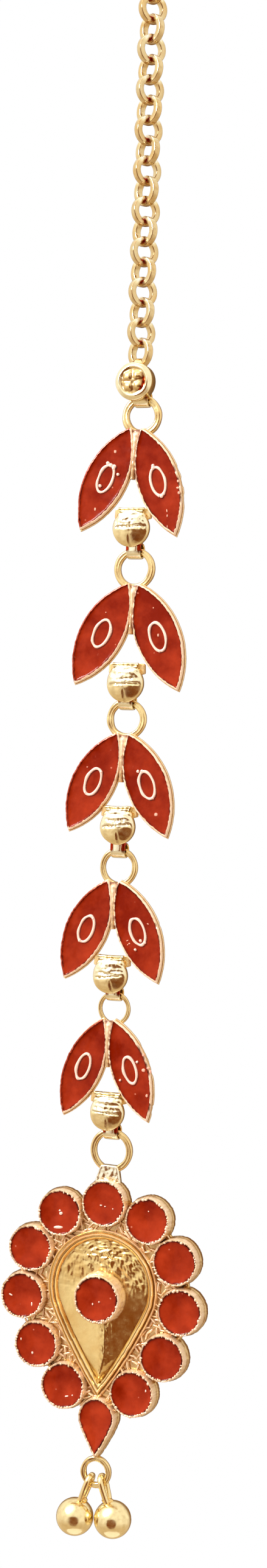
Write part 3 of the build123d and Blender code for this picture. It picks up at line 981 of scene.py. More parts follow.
def make_grains(name, points, gold, radius, smallest, largest, blush, seed, stretch=1.0, turn=0.0):
    """Metal grains on a list of points, or short bits of wire lying every way where they are stretched."""
    mesh = run_tree(grain_tree(), points_mesh(name + "_base", points), {
        "Grain radius": radius * MM,
        "Smallest share": smallest,
        "Largest share": largest,
        "Stretch": stretch,
        "Largest turn": turn,
        "Seed": seed,
        "Metal": gold,
    })
    layer = mesh.attributes.new("blush", "FLOAT", "POINT")
    layer.data.foreach_set("value", np.full(len(mesh.vertices), blush, np.float32))
    finish_mesh(mesh, name, gold, "drop", sharp=80)


# ---------- connector and leaf links ----------

def make_connector(gold):
    """The round connector: a deep barrel with a bordered face, and an eyelet above and below it."""
    middle, radius = measure_boss("connector")
    work = Work()
    boss(work, middle, radius, CONNECTOR_BOSS_FRONT, seed=21, bordered=True)
    ring = measure_top_ring("leaf_link_1", RINGS[0])
    eyelet(work, ring[0], ring[1] + RINGS[0][0], bore_for(RINGS[0]), middle[1] - radius)
    last_wire_up = CHAIN_TOP - (CHAIN_LINKS - 1) * CHAIN_PITCH - CHAIN_RADIUS
    fold_radius = 0.5
    turn = np.linspace(-0.55 * math.pi, 1.35 * math.pi, 44)
    fold = np.column_stack((fold_radius * np.cos(turn), last_wire_up + fold_radius * np.sin(turn)))
    stem = np.array([(0.52, middle[1] + radius - 0.55), (0.50, middle[1] + radius - 0.25)])
    side = np.vstack((stem, fold))
    path = np.column_stack((np.full(len(side), middle[0]), side))
    work.sweep(path, (1, 0, 0), wire_section(STRAP, 0.45, 5.0, 24))
    work.piece("connector_metal", gold, "gold_metal", "strand", ["connector"])


TRAY_ROWS = (
    # out from the enamel, depth, shade and grime (painted shade in the groove and beside the enamel), blush,
    # how much of a chip is lost here
    (-0.20, TRAY_BACK, 0.2, 0.0, 0.0),
    (FLANGE - 0.09, TRAY_BACK, 0.3, 0.0, 0.2),
    (FLANGE - 0.04, TRAY_BACK + 0.01, 0.2, 0.0, 0.4),
    (FLANGE, TRAY_BACK + 0.05, 0.1, 0.2, 0.6),
    (FLANGE, FLANGE_FRONT - 0.07, 0.0, 0.5, 0.8),
    (FLANGE - 0.03, FLANGE_FRONT, 0.0, 0.6, 0.8),
    (RIM + 0.04, FLANGE_FRONT + 0.01, 0.1, 0.5, 0.0),
    (RIM + 0.01, FLANGE_FRONT - 0.01, 0.4, 0.2, 0.0),
    (RIM, FLANGE_FRONT + 0.05, 0.2, 0.5, 0.1),
    (RIM, FLANGE_FRONT + 0.12, 0.0, 0.9, 0.2),
    (RIM, RIM_FRONT - 0.11, 0.0, 1.0, 0.6),
    (RIM - 0.02, RIM_FRONT - 0.03, 0.0, 1.0, 0.9),
    (RIM - 0.06, RIM_FRONT + 0.01, 0.0, 1.0, 1.0),
    (RIM - 0.14, RIM_FRONT + 0.01, 0.0, 1.0, 1.0),
    (0.02, RIM_FRONT - 0.01, 0.0, 1.0, 0.9),
    (-0.01, RIM_FRONT - 0.06, 0.5, 0.5, 0.7),
    (-0.015, LEAF_ENAMEL - 0.16, 0.8, 0.0, 0.0),
    (-0.02, TRAY_FLOOR, 0.3, 0.0, 0.0),
)


def leaf_tray(work, leaf, seed, chips, dark):
    """One tray: back, base flange, groove, and the rim round the enamel, with any chips in its rim.

    The rim's upper left is darkened with painted shade: in patches, or all over on a dark tray.
    """
    outline = leaf_loop(leaf, 0.0)
    count = len(outline)
    out = 0.016 * waver(count, seed, 9)
    lift = 0.020 * waver(count, seed + 1, 7)
    fine = 0.012 * jag(count, seed + 3)
    place = np.arange(count) / count
    loss = np.zeros(count)
    for start, end, amount in chips:
        width = (end - start) * 0.12
        inside = step(place, start - width, start + width) * (1 - step(place, end - width, end + width))
        loss = np.maximum(loss, amount * inside)
    ragged = loss * (0.75 + 0.25 * waver(count, seed + 2, 40))
    facing = np.roll(outline, -2, axis=0) - np.roll(outline, 2, axis=0)
    facing = facing / np.maximum(np.linalg.norm(facing, axis=1), 1e-6)[:, None]
    # painted shade on the rim where it faces the upper left
    upper_left = -0.8 * facing[:, 1] - 0.6 * facing[:, 0] - 0.35
    if dark:
        painted_shade = step(upper_left + 0.1 * jag(count, seed + 6), -0.1, 0.2) * 1.5
    else:
        shaded = np.clip(upper_left, 0, 1) / 0.65
        painted_shade = step(jag(count, seed + 4) + 1.6 * shaded, 0.2, 1.2) * step(shaded, 0.0, 0.4)
    rows = []
    for grow, depth, row_shade_and_dirt, blush, lost in TRAY_ROWS:
        above = step(depth, FLANGE_FRONT, RIM_FRONT - 0.1)
        inner = step(-grow, -0.08, 0.02)
        rough = out * (0.4 + 0.6 * above) + fine * (0.3 + 0.7 * above + 0.6 * inner)
        loop = leaf_loop(leaf, grow + rough - lost * ragged * 0.16)
        shade_and_dirt = row_shade_and_dirt + (0.85 * painted_shade + 0.9 * ragged * lost) * above
        rows.append((at_depth(loop, depth + lift * above - lost * above * ragged * 0.26), shade_and_dirt, blush))
    work.skin_rows(rows)


# how far in from its rim each loop of a leaf's enamel lies
GLAZE_STEPS = (0.0, 0.02, 0.05, 0.10, 0.17, 0.26, 0.38, 0.52, 0.68, 0.86, 1.06, 1.28, 1.5, 1.72)


def leaf_glaze(name, leaf, enamel, nodes, seed):
    """The enamel of one tray: it creeps up its rim, sinks a little beside it, and is unevenly fired, with
    painted shade along its rim and a painted sheen towards its lower tip.
    """
    grows = [-inward for inward in GLAZE_STEPS if inward < leaf.half_width - 0.12]
    grows.append(0.06 - leaf.half_width)
    rim = leaf_loop(leaf, -0.01)
    fine = 0.03 * jag(len(rim), seed + 2)
    rows = [(at_depth(rim, TRAY_FLOOR + 0.01), 1, 0)]
    foot = leaf.middle - leaf.axis * leaf.half_length
    for grow in grows:
        near = math.exp(grow / 0.08)
        loop = leaf_loop(leaf, grow)
        across, up = loop.T
        creep = 0.055 * near - 0.05 * (1 - math.exp(grow / 0.6))
        wave = 0.024 * ripple(across, up, 1.1, seed) * (1 - near)
        # painted shade along the rim, and a painted sheen that lightens the red towards the lower tip
        shade = np.clip(math.exp(grow / 0.06) * (1 + 20 * fine), 0, 1)
        along = (loop - foot) @ leaf.axis / (2 * leaf.half_length)
        sheen_and_cloud = np.clip(0.55 - 0.75 * along + 0.25 * ripple(across, up, 1.6, seed + 3), 0, 1)
        rows.append((at_depth(loop, LEAF_ENAMEL + creep + wave), shade, sheen_and_cloud))
    work = Work()
    work.skin_rows(rows)
    for across, up, wide, tall, turn, raised in LEAF_FLECKS.get(name, ()):
        place = leaf.middle + np.array([across, up])
        fleck(work, place, wide, tall, turn, LEAF_ENAMEL - 0.015 + raised, seed)
    work.piece(name, enamel, "red_enamel", "strand", nodes, sharp=60)


def fleck(work, place, wide, tall, turn, front, seed):
    """A low lump of pale enamel with a rough outline, a painted highlight."""
    angle = math.radians(turn)
    flat = wire_section(wide, tall, 3.0, 20)
    turned = np.column_stack((
        flat[:, 0] * math.cos(angle) - flat[:, 1] * math.sin(angle),
        flat[:, 0] * math.sin(angle) + flat[:, 1] * math.cos(angle),
    ))
    rough = (1 + 0.10 * waver(len(flat), seed, 4))[:, None]
    rows = ((1.0, -0.10), (1.0, 0.0), (0.85, 0.035), (0.5, 0.05))
    work.skin([at_depth(place + turned * rough * size, front + rise) for size, rise in rows], 0.0, 2.0)


OVAL_ROWS = (
    # out from the oval's inside, above the enamel, shade and grime (painted shade where it meets the enamel)
    (-0.01, -0.15, 0.9),
    (0.0, 0.02, 0.4),
    (0.03, 0.08, 0.0),
    (0.08, 0.10, 0.0),
    (0.14, 0.105, 0.0),
    (0.20, 0.10, 0.0),
    (0.25, 0.08, 0.0),
    (0.28, 0.02, 0.4),
    (0.29, -0.15, 0.9),
)


def oval_line(work, oval, seed, beads):
    """The raised oval on a leaf: a soft line with a few lumps on it, tinted rose as a painted reflection of
    the enamel round it.
    """
    thick = 0.02 * waver(len(oval_loop(oval, 0.0)), seed, 7)
    middle = 0.14
    rose_reflection = 1.6
    rows = []
    for grow, rise, shade_and_dirt in OVAL_ROWS:
        edge = middle + (grow - middle) * (0.90 + 9 * thick)
        depth = LEAF_ENAMEL + rise + thick * (rise > 0.05)
        rows.append((at_depth(oval_loop(oval, edge + thick), depth), shade_and_dirt, rose_reflection))
    work.skin_rows(rows, ring=True)
    for turn, out, size in beads:
        angle = math.radians(turn)
        place = oval.middle + (oval.half_width + middle + out) * math.cos(angle) * side_axis(oval)
        place = place + (oval.half_length + middle + out) * math.sin(angle) * oval.axis
        work.bead((place[0], LEAF_ENAMEL + 0.03, place[1]), (size, 0.13, size), seed, rose_reflection)


def leaf_seam(work, pair_top, apex, seed):
    """The solder seam between two leaves: wide and notched at the top, narrow at the foot."""
    steps = 40
    path = np.linspace(pair_top, apex, steps)
    share = np.linspace(0, 1, steps)
    width = 0.19 + 0.20 * hump(share, 0.0, 0.30) + 0.02 * waver(steps, seed, 7)
    crest = RIM_FRONT + 0.03 - 0.22 * hump(share, 0.02, 0.05) + 0.03 * waver(steps, seed + 1, 9)
    turn = full_turn(24)
    middle = 0.40
    rows = []
    for (across, up), down, half, front in zip(path, share, width, crest):
        loop = np.column_stack((across + half * np.cos(turn), np.full(len(turn), up)))
        solder = 0.9 * hump(down, 0.025, 0.035) * (np.sin(turn) > 0.3)
        sides = 0.25 + 0.3 * (abs(np.cos(turn)) > 0.9) - 0.25 * (down < 0.45)
        depth = middle + (front - middle) * np.sin(turn)
        rows.append((at_depth(loop, depth), np.maximum(solder, sides), 1.0 - 0.6 * down))
    work.skin_rows(rows)


# the web behind a cross bar and the pad behind its boss, from the bar's top
WEB = ((-1.70, 0.10), (1.70, 0.10), (1.75, -0.80), (1.1, -1.0), (-1.1, -1.0), (-1.75, -0.80))
PAD = ((-0.8, -0.5), (0.8, -0.5), (0.9, -2.5), (-0.9, -2.5))

# chips in the rims: link, side, then from, to and how much, round from the lower tip
CHIPS = {
    (1, "right"): ((0.13, 0.17, 0.9), (0.20, 0.235, 1.0), (0.26, 0.285, 0.8)),
    (5, "right"): ((0.20, 0.335, 1.0), (0.04, 0.075, 0.9)),
    (4, "right"): ((0.235, 0.25, 0.6),),
}

# lumps on the ovals: link, side, then turn from the outer side, how far out, and size
LUMPS = {
    (1, "left"): (
        (66, 0.16, 0.19), (114, 0.18, 0.19), (90, 0.0, 0.20),
        (28, 0.42, 0.15), (60, 0.02, 0.17), (235, -0.34, 0.16),
    ),
    (1, "right"): (
        (96, 0.20, 0.17), (100, 0.04, 0.20), (272, 0.08, 0.18), (292, 0.02, 0.17), (255, 0.02, 0.16),
    ),
    (2, "left"): ((35, 0.0, 0.13),),
    (2, "right"): ((255, 0.02, 0.13),),
    (3, "left"): ((60, 0.04, 0.14), (250, 0.0, 0.13)),
    (3, "right"): ((115, 0.32, 0.15), (95, 0.08, 0.15), (285, 0.04, 0.15)),
    (4, "left"): ((255, 0.02, 0.16), (65, 0.0, 0.13)),
    (4, "right"): ((275, -0.38, 0.15), (300, 0.07, 0.14), (235, 0.55, 0.13)),
    (5, "left"): ((75, 0.0, 0.13),),
    (5, "right"): ((200, 0.62, 0.11), (20, 0.35, 0.13)),
}

# pale lumps in the leaves and on their rims, painted highlights: across and up from a leaf's middle,
# half width, half height, turn, and how far raised
LEAF_FLECKS = {
    "leaf_1_left_glaze": ((0.85, 2.45, 0.12, 0.13, 0, 0), (-0.90, -2.75, 0.09, 0.14, 0, 0)),
    "leaf_1_right_glaze": (
        (0.95, -2.65, 0.05, 0.14, 10, 0), (1.00, -3.1, 0.05, 0.12, 0, 0), (-0.20, -3.3, 0.20, 0.08, -35, 0),
        (1.05, -4.15, 0.04, 0.22, 5, 0), (1.93, 0.0, 0.10, 0.12, 0, 0.08),
        (1.92, -0.60, 0.12, 0.09, 0, 0.08), (2.04, -1.05, 0.10, 0.13, 0, 0.08),
    ),
    "leaf_2_left_glaze": ((-0.95, -0.65, 0.08, 0.10, 0, 0), (0.35, 1.9, 0.05, 0.05, 0, 0)),
    "leaf_2_right_glaze": ((0.05, 0.15, 0.08, 0.13, 0, 0), (-0.5, 2.6, 0.05, 0.07, 0, 0)),
    "leaf_3_left_glaze": ((-0.6, 1.3, 0.07, 0.05, 0, 0),),
    "leaf_3_right_glaze": ((0.95, -2.6, 0.16, 0.14, 0, 0), (1.75, 0.9, 0.08, 0.08, 0, 0.06)),
    "leaf_4_right_glaze": (
        (-0.95, -0.85, 0.10, 0.05, 30, 0), (-0.75, -1.10, 0.08, 0.06, 0, 0),
        (-0.90, -1.22, 0.06, 0.05, 60, 0), (0.95, 0.75, 0.09, 0.05, -20, 0),
    ),
    "leaf_5_right_glaze": (
        (1.30, 0.10, 0.16, 0.15, 0, 0.02), (1.75, 0.33, 0.14, 0.10, 10, 0.06),
        (1.95, 0.02, 0.10, 0.13, 0, 0.06), (1.72, -2.15, 0.10, 0.14, 0, 0.08),
        (1.25, 1.45, 0.10, 0.12, 20, 0.06),
    ),
}


def make_leaf_link(number, gold, enamel):
    """One link: two enamelled leaves, their ring, the cross bar, the boss and its eyelet."""
    node = f"leaf_link_{number}"
    seed = 100 * number
    work = Work()
    leaves = [measure_leaf(f"leaf_enamel_{number}_{side}") for side in SIDES]
    for order, (side, leaf) in enumerate(zip(SIDES, leaves)):
        leaf_seed = seed + 10 * order
        leaf_tray(work, leaf, leaf_seed, CHIPS.get((number, side), ()), dark=side == "left")
        oval = measure_leaf(f"oval_enamel_{number}_{side}")
        oval_line(work, oval, leaf_seed + 5, LUMPS.get((number, side), ()))
        nodes = [f"leaf_enamel_{number}_{side}", f"oval_enamel_{number}_{side}"]
        leaf_glaze(f"leaf_{number}_{side}_glaze", leaf, enamel, nodes, leaf_seed + 7)
    ring_size = RINGS[number - 1]
    jump_ring(work, measure_top_ring(node, ring_size), ring_size, seed + 30)
    left, right = leaves
    left_top = left.middle + left.axis * left.half_length
    right_top = right.middle + right.axis * right.half_length
    seam_top = (left_top + right_top) / 2 + np.array([0, 0.05])
    seam_foot = (left.middle + right.middle) / 2 + np.array([0, 0.1])
    leaf_seam(work, seam_top, seam_foot, seed + 35)
    centre, radius = measure_boss(node)
    boss(work, centre, radius, LINK_BOSS_FRONT, seed + 40)
    link_bar(work, centre, seed + 50)
    next_size = RINGS[number]
    next_ring = measure_top_ring(f"leaf_link_{number + 1}" if number < LINK_COUNT else "pendant", next_size)
    eyelet(work, next_ring[0], next_ring[1] + next_size[0], bore_for(next_size), centre[1] - radius)
    work.piece(f"leaf_{number}_metal", gold, "gold_metal", "strand", [node])


def link_bar(work, centre, seed):
    """The cross bar over a boss, and the web behind it that joins both leaves."""
    top = centre[1] + BAR_UP
    web = [(centre[0] + across, top + up) for across, up in WEB]
    pad = [(centre[0] + across, top + up) for across, up in PAD]
    rounded_slab(work, web, TRAY_BACK + 0.02, FLANGE_FRONT + 0.10, edge=0.05, blush=0.25)
    rounded_slab(work, pad, TRAY_BACK + 0.06, 0.5, edge=0.05)
    for side in (-1, 1):
        ear = (centre[0] + side * 0.98, 0.80, top - 0.62)
        work.bead(ear, (0.42, 0.28, 0.34), seed + side, -1.0)
    steps = 34
    share = np.linspace(-1, 1, steps)
    for lift, wire, shade_and_dirt in ((0.0, 0.115, 0.0), (-0.24, 0.15, 0.15)):
        path = np.column_stack((
            centre[0] + (1.15 - 0.5 * abs(lift)) * share,
            0.70 + 0.12 * (1 - share**2),
            np.full(steps, top + lift) + 0.02 * waver(steps, seed, 4),
        ))
        size = 1 + 0.3 * share**4 + 0.07 * waver(steps, seed + 1, 6)
        darkening = shade_and_dirt + 0.35 * hump(abs(share), 0.93, 0.09)
        section = wire_section(0.26, wire, 2.6)
        work.sweep(path, (0, 0, 1), section, scale=size, shade_and_grime=darkening[:, None], blush=-0.8)


# ---------- pendant ----------

STONES = ["stone_top"] + [f"stone_{side}_{row}" for side in ("right", "left") for row in range(1, 6)]

COLLET_ROWS = (
    # out from the enamel, depth, share of the teeth, shade and grime (painted shade at the wall's foot and
    # inside the lip), blush
    (0.32, PLATE_BACK + 0.05, 0, 0.6, 0.0),
    (0.35, 0.30, 0, 0.4, 0.0),
    (0.34, 0.52, 0, 0.3, 0.2),
    (0.29, 0.66, 0, 0.8, 0.0),
    (0.27, 0.78, 0, 0.3, 0.5),
    (0.235, 1.05, 0, 0.0, 0.9),
    (0.20, 1.30, 0, 0.0, 1.0),
    (0.18, 1.42, 0.2, 0.0, 1.0),
    (0.135, 1.50, 0.6, 0.0, 1.0),
    (0.07, 1.51, 1.0, 0.0, 1.0),
    (0.00, 1.46, 1.0, 0.1, 1.0),
    (-0.02, 1.38, 0.4, 0.9, 0.0),
    (-0.02, 1.00, 0, 0.9, 0.0),
    (0.10, 0.20, 0, 0.3, 0.0),
)

CENTRE_ROWS = (
    # the same for the tall centre collet, whose lip is rolled over
    (0.40, 0.75, 0, 0.8, 0.0),
    (0.43, 0.98, 0, 0.6, 0.2),
    (0.40, 1.30, 0, 0.0, 0.8),
    (0.36, 1.65, 0, 0.0, 1.0),
    (0.33, 2.00, 0, 0.0, 1.0),
    (0.29, 2.25, 0.1, 0.0, 1.0),
    (0.21, 2.42, 0.4, 0.0, 1.0),
    (0.12, 2.50, 0.8, 0.0, 1.0),
    (0.05, 2.48, 1.0, 0.0, 1.0),
    (-0.01, 2.41, 1.0, 0.2, 0.8),
    (-0.02, 2.32, 0.4, 0.9, 0.0),
    (-0.02, 1.90, 0, 0.9, 0.0),
    (0.10, 0.75, 0, 0.3, 0.0),
)

FLOOR_ROWS = (
    # the plate that closes a collet behind its enamel: out from the enamel, depth
    (0.05, PLATE_BACK + 0.03),
    (0.24, PLATE_BACK + 0.03),
    (0.29, PLATE_BACK + 0.07),
    (0.30, PLATE_FRONT),
    (0.05, PLATE_FRONT),
)

DISH_ROWS = (
    # out from the inside of the rim, depth, shade and grime (painted shade in the grooves), blush
    (0.56, PLATE_FRONT - 0.02, 0.6, 0.0),
    (0.57, 0.62, 0.4, 0.2),
    (0.56, 0.98, 0.0, 0.7),
    (0.53, 1.12, 0.0, 0.8),
    (0.48, 1.17, 0.0, 0.8),
    (0.43, 1.12, 0.0, 0.4),
    (0.38, 1.03, 0.5, 0.0),
    (0.32, 1.04, 0.4, 0.0),
    (0.27, 1.16, 0.0, 0.2),
    (0.22, 1.30, 0.0, 0.5),
    (0.16, 1.36, 0.0, 0.6),
    (0.10, 1.34, 0.0, 0.4),
    (0.05, 1.22, 0.3, 0.0),
    (0.01, 1.14, 0.6, 0.0),
    (-0.04, 1.15, 0.3, 0.0),
    (-0.12, 1.12, 0.0, 0.1),
    (-0.20, 1.04, 0.0, 0.0),
    (-0.27, 0.94, 0.1, 0.0),
)

# pale lumps in the enamel, painted highlights: across and up from the stone's middle, half width, half
# height, turn
FLECKS = {
    "stone_left_1": ((-0.10, -1.32, 0.42, 0.13, 5), (0.12, -0.05, 0.16, 0.13, 30), (0.0, 0.2, 0.09, 0.08, 0)),
    "stone_top": ((-0.25, -0.18, 0.10, 0.06, 0), (0.15, -0.25, 0.07, 0.05, 0), (0.9, -0.4, 0.06, 0.05, 0)),
    "stone_left_3": ((-1.15, -0.05, 0.17, 0.07, -25), (0.95, -0.72, 0.07, 0.17, 0)),
    "stone_left_4": ((-0.35, -0.85, 0.09, 0.11, 0), (-1.5, 0.3, 0.06, 0.12, 0)),
    "stone_left_5": ((0.4, -0.9, 0.17, 0.07, 15), (0.95, -0.75, 0.08, 0.06, 0)),
    "stone_right_5": ((1.35, 0.45, 0.07, 0.11, 0),),
    "stone_right_1": ((0.1, 0.9, 0.06, 0.05, 0),),
    "stone_centre": ((-0.35, -0.45, 0.06, 0.10, 0), (0.25, -0.2, 0.07, 0.06, 0)),
}

# how far in from its edge each loop of a stone's enamel lies
STONE_STEPS = (0.0, 0.02, 0.05, 0.09, 0.15, 0.24, 0.36, 0.52, 0.72, 0.95, 1.2, 1.45, 1.68, 1.82)


def collet(work, outline, rows, seed, tooth_count, floor=True):
    """A collet: its wall with a toothed lip, given an outline at any reach, and the floor behind it."""
    steps = len(outline(0.0))
    tooth = teeth(steps, tooth_count, seed)
    sway = 0.022 * waver(steps, seed + 1, 6) + 0.010 * jag(steps, seed + 3)
    low = 0.03 * waver(steps, seed + 2, 5)
    streak = np.maximum(waver(steps, seed + 5, 14) - 0.4, 0)
    patchy = 0.9 - 0.35 * waver(steps, seed + 4, 9).clip(0, 1)
    made = []
    for reach, depth, share, row_shade_and_dirt, blush in rows:
        gap = share * (1 - tooth)
        loop = outline(reach + sway + 0.075 * gap)
        # painted shade between the teeth, and streaks of dirt on the upper wall
        shade_and_dirt = row_shade_and_dirt + 0.45 * gap**2 + 0.12 * streak * (depth > 0.7)
        made.append((at_depth(loop, depth - 0.06 * gap + low * (depth > 1)), shade_and_dirt, blush * patchy))
    work.skin_rows(made, ring=True)
    if floor:
        work.skin([at_depth(outline(reach), depth) for reach, depth in FLOOR_ROWS], 0.25, 0.0)


def stone_glaze(name, node, outline, floor, front, dish, radius, enamel, seed, sheen_and_cloud=0.0):
    """The enamel in a collet: drawn up at its edge and dished in the middle, with painted shade along its
    edge, a painted sheen that lightens it towards its lower side and, if asked, in the middle.
    """
    rim = outline(0.0)
    middle_up = rim[:, 1].mean()
    fine = 0.03 * jag(len(rim), seed + 2)
    rows = [(at_depth(rim, floor), 1, 0)]
    for inward in STONE_STEPS:
        if inward > radius - 0.08:
            continue
        near = math.exp(-inward / 0.07)
        loop = outline(-inward)
        across, up = loop.T
        share = min(inward / radius, 1)
        sunk = 0.05 * near - dish * (1 - (1 - share) ** 2)
        wave = 0.026 * ripple(across, up, 0.9, seed) * (1 - near)
        # painted shade along the edge, and a painted sheen, lighter lower down and, if asked, in the middle
        shade = np.clip(near * (1 + 20 * fine), 0, 1)
        lower = 0.5 + sheen_and_cloud * share - 0.25 * (up - middle_up) / radius
        tone = np.clip(lower + 0.45 * ripple(across, up, 1.5, seed + 3), 0, 1)
        rows.append((at_depth(loop, front + sunk + wave), shade, tone))
    work = Work()
    work.skin_rows(rows)
    work.piece(name, enamel, "red_enamel", "drop", [node], sharp=60)


def round_outline(middle, radius, steps):
    """The outline of a round stone, for any distance out from its edge."""
    return lambda reach: round_loop(middle, radius + reach, steps)


def drop_outline(drop, steps):
    """The outline of the drop-shaped stone, for any distance out from its edge."""
    return lambda reach: drop_loop(drop, reach, steps)


def dish_shape():
    """The teardrop dish of the pendant, placed from the centre stone, which sits in its round part."""
    middle, _ = measure_round("stone_centre")
    return Drop(across=middle[0], up=middle[1] - 0.57 + 1.38, radius=4.66, length=9.10, shoulder=25.0)


def make_dish(work, drop):
    """The dish: border wire, groove, rim, ledge, and the keeled floor inside."""
    steps = 200
    out = 0.015 * waver(steps, 61, 6) + 0.010 * jag(steps, 60)
    lift = 0.018 * waver(steps, 62, 5)
    rows = []
    for reach, depth, shade_and_dirt, blush in DISH_ROWS:
        loop = drop_loop(drop, reach + out, steps)
        rows.append((at_depth(loop, depth + lift * (depth > 0.9)), shade_and_dirt, 0.95 * blush - 0.1))
    # the floor's loops close in on the keel, a spine from its top down to its foot
    edge = drop_loop(drop, -0.32, steps)
    keel_top = drop.up + 2.6
    keel_foot = drop.up - drop.length + 0.8
    spine_up = np.clip(edge[:, 1], keel_foot, keel_top)
    spine_across = drop.across + 0.48 * step(spine_up, keel_foot, keel_foot + 2.6)
    spine = np.column_stack((spine_across, spine_up))
    width = np.maximum(np.abs(edge[:, 0] - spine_across), 0.3)
    for share in np.linspace(0.0, 0.99, 60):
        loop = edge + (spine - edge) * share
        across, up = loop.T
        rise = up - drop.up
        inward = np.clip(1 - np.abs(across - spine_across) / width, 0, 1)
        below = 1 - step(rise, -1.6, 0.8)
        # beaten with dents above, with painted shade in the dents and at the floor's edge, and dirt along the
        # keel and speckled to the right of it below
        mottle = step(rise, -1.4, 1.6) * (0.55 + 0.45 * step(across - drop.across, -2.8, -0.5))
        streak = ripple(across * 0.6, up * 1.5, 0.40, 63)
        fine = ripple(across, up, 0.2, 64)
        ridge = hump(inward, 1, 0.15) * below
        speckled = below * hump(across - spine_across, 0.35, 0.55) * step(0.6 - rise, 0.0, 2.0)
        rough = ripple(across, up, 0.28, 67)
        depth = DISH_FLOOR + KEEL * inward * (0.25 + 0.75 * below)
        depth = depth + mottle * (0.10 * streak + 0.045 * fine) + 0.014 * ripple(across, up, 1.4, 65)
        depth = depth + ridge * (0.10 * ripple(across, up, 0.45, 66) + 0.05 * fine) + speckled * 0.05 * rough
        shade_and_dirt = 0.7 * mottle * np.maximum(-streak - 0.1, 0) + 1.3 * ridge * np.maximum(fine, 0)
        shade_and_dirt = shade_and_dirt + 1.3 * speckled * np.maximum(rough - 0.35, 0) + 0.6 * math.exp(-share / 0.02)
        rows.append((at_depth(loop, depth), shade_and_dirt, -0.1))
    work.skin_rows(rows)


def plate_outline(stones, drop_place):
    """The back plate's corners: round the wreath, a little outside the collets' middles."""
    # from the top down the right side, and from the drop back up the left one
    order = STONES[:6] + ["stone_drop"] + STONES[:5:-1]
    places = {name: middle for name, (middle, _) in stones.items()}
    places["stone_drop"] = np.array(drop_place)
    corners = np.array([places[name] for name in order])
    middle = corners.mean(0)
    out = corners - middle
    return middle + out * (1 + 0.75 / np.linalg.norm(out, axis=1))[:, None]


def add_flecks(work, name, middle, front, seed):
    """The pale lumps in one stone's enamel, painted highlights."""
    for order, (across, up, wide, tall, turn) in enumerate(FLECKS.get(name, ())):
        fleck(work, middle + np.array([across, up]), wide, tall, turn, front - FLECK_SUNK, seed + order)


def make_pendant(gold, enamel):
    """The pendant: plate, wreath of collets, keeled dish, tall centre collet, drop, neck and rings."""
    stones = {name: measure_round(name) for name in STONES}
    dish = dish_shape()
    small = measure_drop("stone_drop")
    work = Work()
    corners = plate_outline(stones, (small.across, small.up))
    bed = corners.mean(0) + (corners - corners.mean(0)) * 0.93
    rounded_slab(work, corners, PLATE_BACK, PLATE_FRONT, edge=0.08, shade_and_grime=0.25, sway=0.04, seed=70)
    rounded_slab(work, bed, 0.0, BED_FRONT, edge=0.05, shade_and_grime=0.2, blush=0.3, sway=0.04, seed=71)
    for order, (name, (middle, radius)) in enumerate(stones.items()):
        wall = round_outline(middle, radius, 200)
        collet(work, wall, COLLET_ROWS, seed=200 + 7 * order, tooth_count=34)
        add_flecks(work, name, middle, STONE_FRONT, 500 + order)
        outline = round_outline(middle, radius, 96)
        glaze = name.replace("stone", "glaze")
        seed = 300 + order
        stone_glaze(glaze, name, outline, STONE_FLOOR, STONE_FRONT, STONE_DISHED, radius, enamel, seed)
    make_dish(work, dish)
    name = "stone_centre"
    middle, radius = measure_round(name)
    collet(work, round_outline(middle, radius, 200), CENTRE_ROWS, seed=280, tooth_count=38, floor=False)
    add_flecks(work, name, middle, CENTRE_ENAMEL, 520)
    outline = round_outline(middle, radius, 96)
    glaze = "glaze_centre"
    stone_glaze(glaze, name, outline, CENTRE_FLOOR, CENTRE_ENAMEL, STONE_DISHED, radius, enamel, 320)
    collet(work, drop_outline(small, 200), COLLET_ROWS, seed=85, tooth_count=36)
    outline = drop_outline(small, 120)
    name = "stone_drop"
    glaze = "glaze_drop"
    stone_glaze(glaze, name, outline, STONE_FLOOR, STONE_FRONT, DROP_DISHED, 1.2, enamel, 321, sheen_and_cloud=0.8)
    ring_size = RINGS[-1]
    ring = measure_top_ring("pendant", ring_size)
    jump_ring(work, ring, ring_size, seed=90)
    pendant_neck(work, ring, stones["stone_top"])
    radius, wire = SMALL_RING
    jump_ring(work, measure_small_ring(), (radius, wire * 1.1), seed=95, forwards=SMALL_RING_FRONT)
    work.piece("pendant_metal", gold, "gold_metal", "drop", ["pendant"])
    make_grains(
        "lip_grains", lip_points(stones), gold,
        radius=0.118, smallest=0.35, largest=1.3, blush=1.0, seed=11,
    )
    make_grains(
        "web_grains", web_points(stones, dish, corners), gold,
        radius=0.092, smallest=0.7, largest=1.2, blush=0.8, seed=12, stretch=4.6, turn=math.pi,
    )


def pendant_neck(work, ring, top_stone):
    """The flat neck from the ring to the top collet, rough from the hammer."""
    middle, radius = top_stone
    top = ring[1] - 1.25
    foot = middle[1] + radius - 0.1
    corners = [
        (ring[0] - 0.80, top), (ring[0] + 0.80, top), (middle[0] + 1.15, foot + 0.25),
        (middle[0] + 1.25, foot - 0.5), (middle[0] - 1.25, foot - 0.5), (middle[0] - 1.15, foot + 0.25),
    ]
    back, front = -0.09, 0.66
    rounded_slab(work, corners, back, front, edge=0.10, blush=-1.6, sway=0.03, seed=88, relief=0.055)


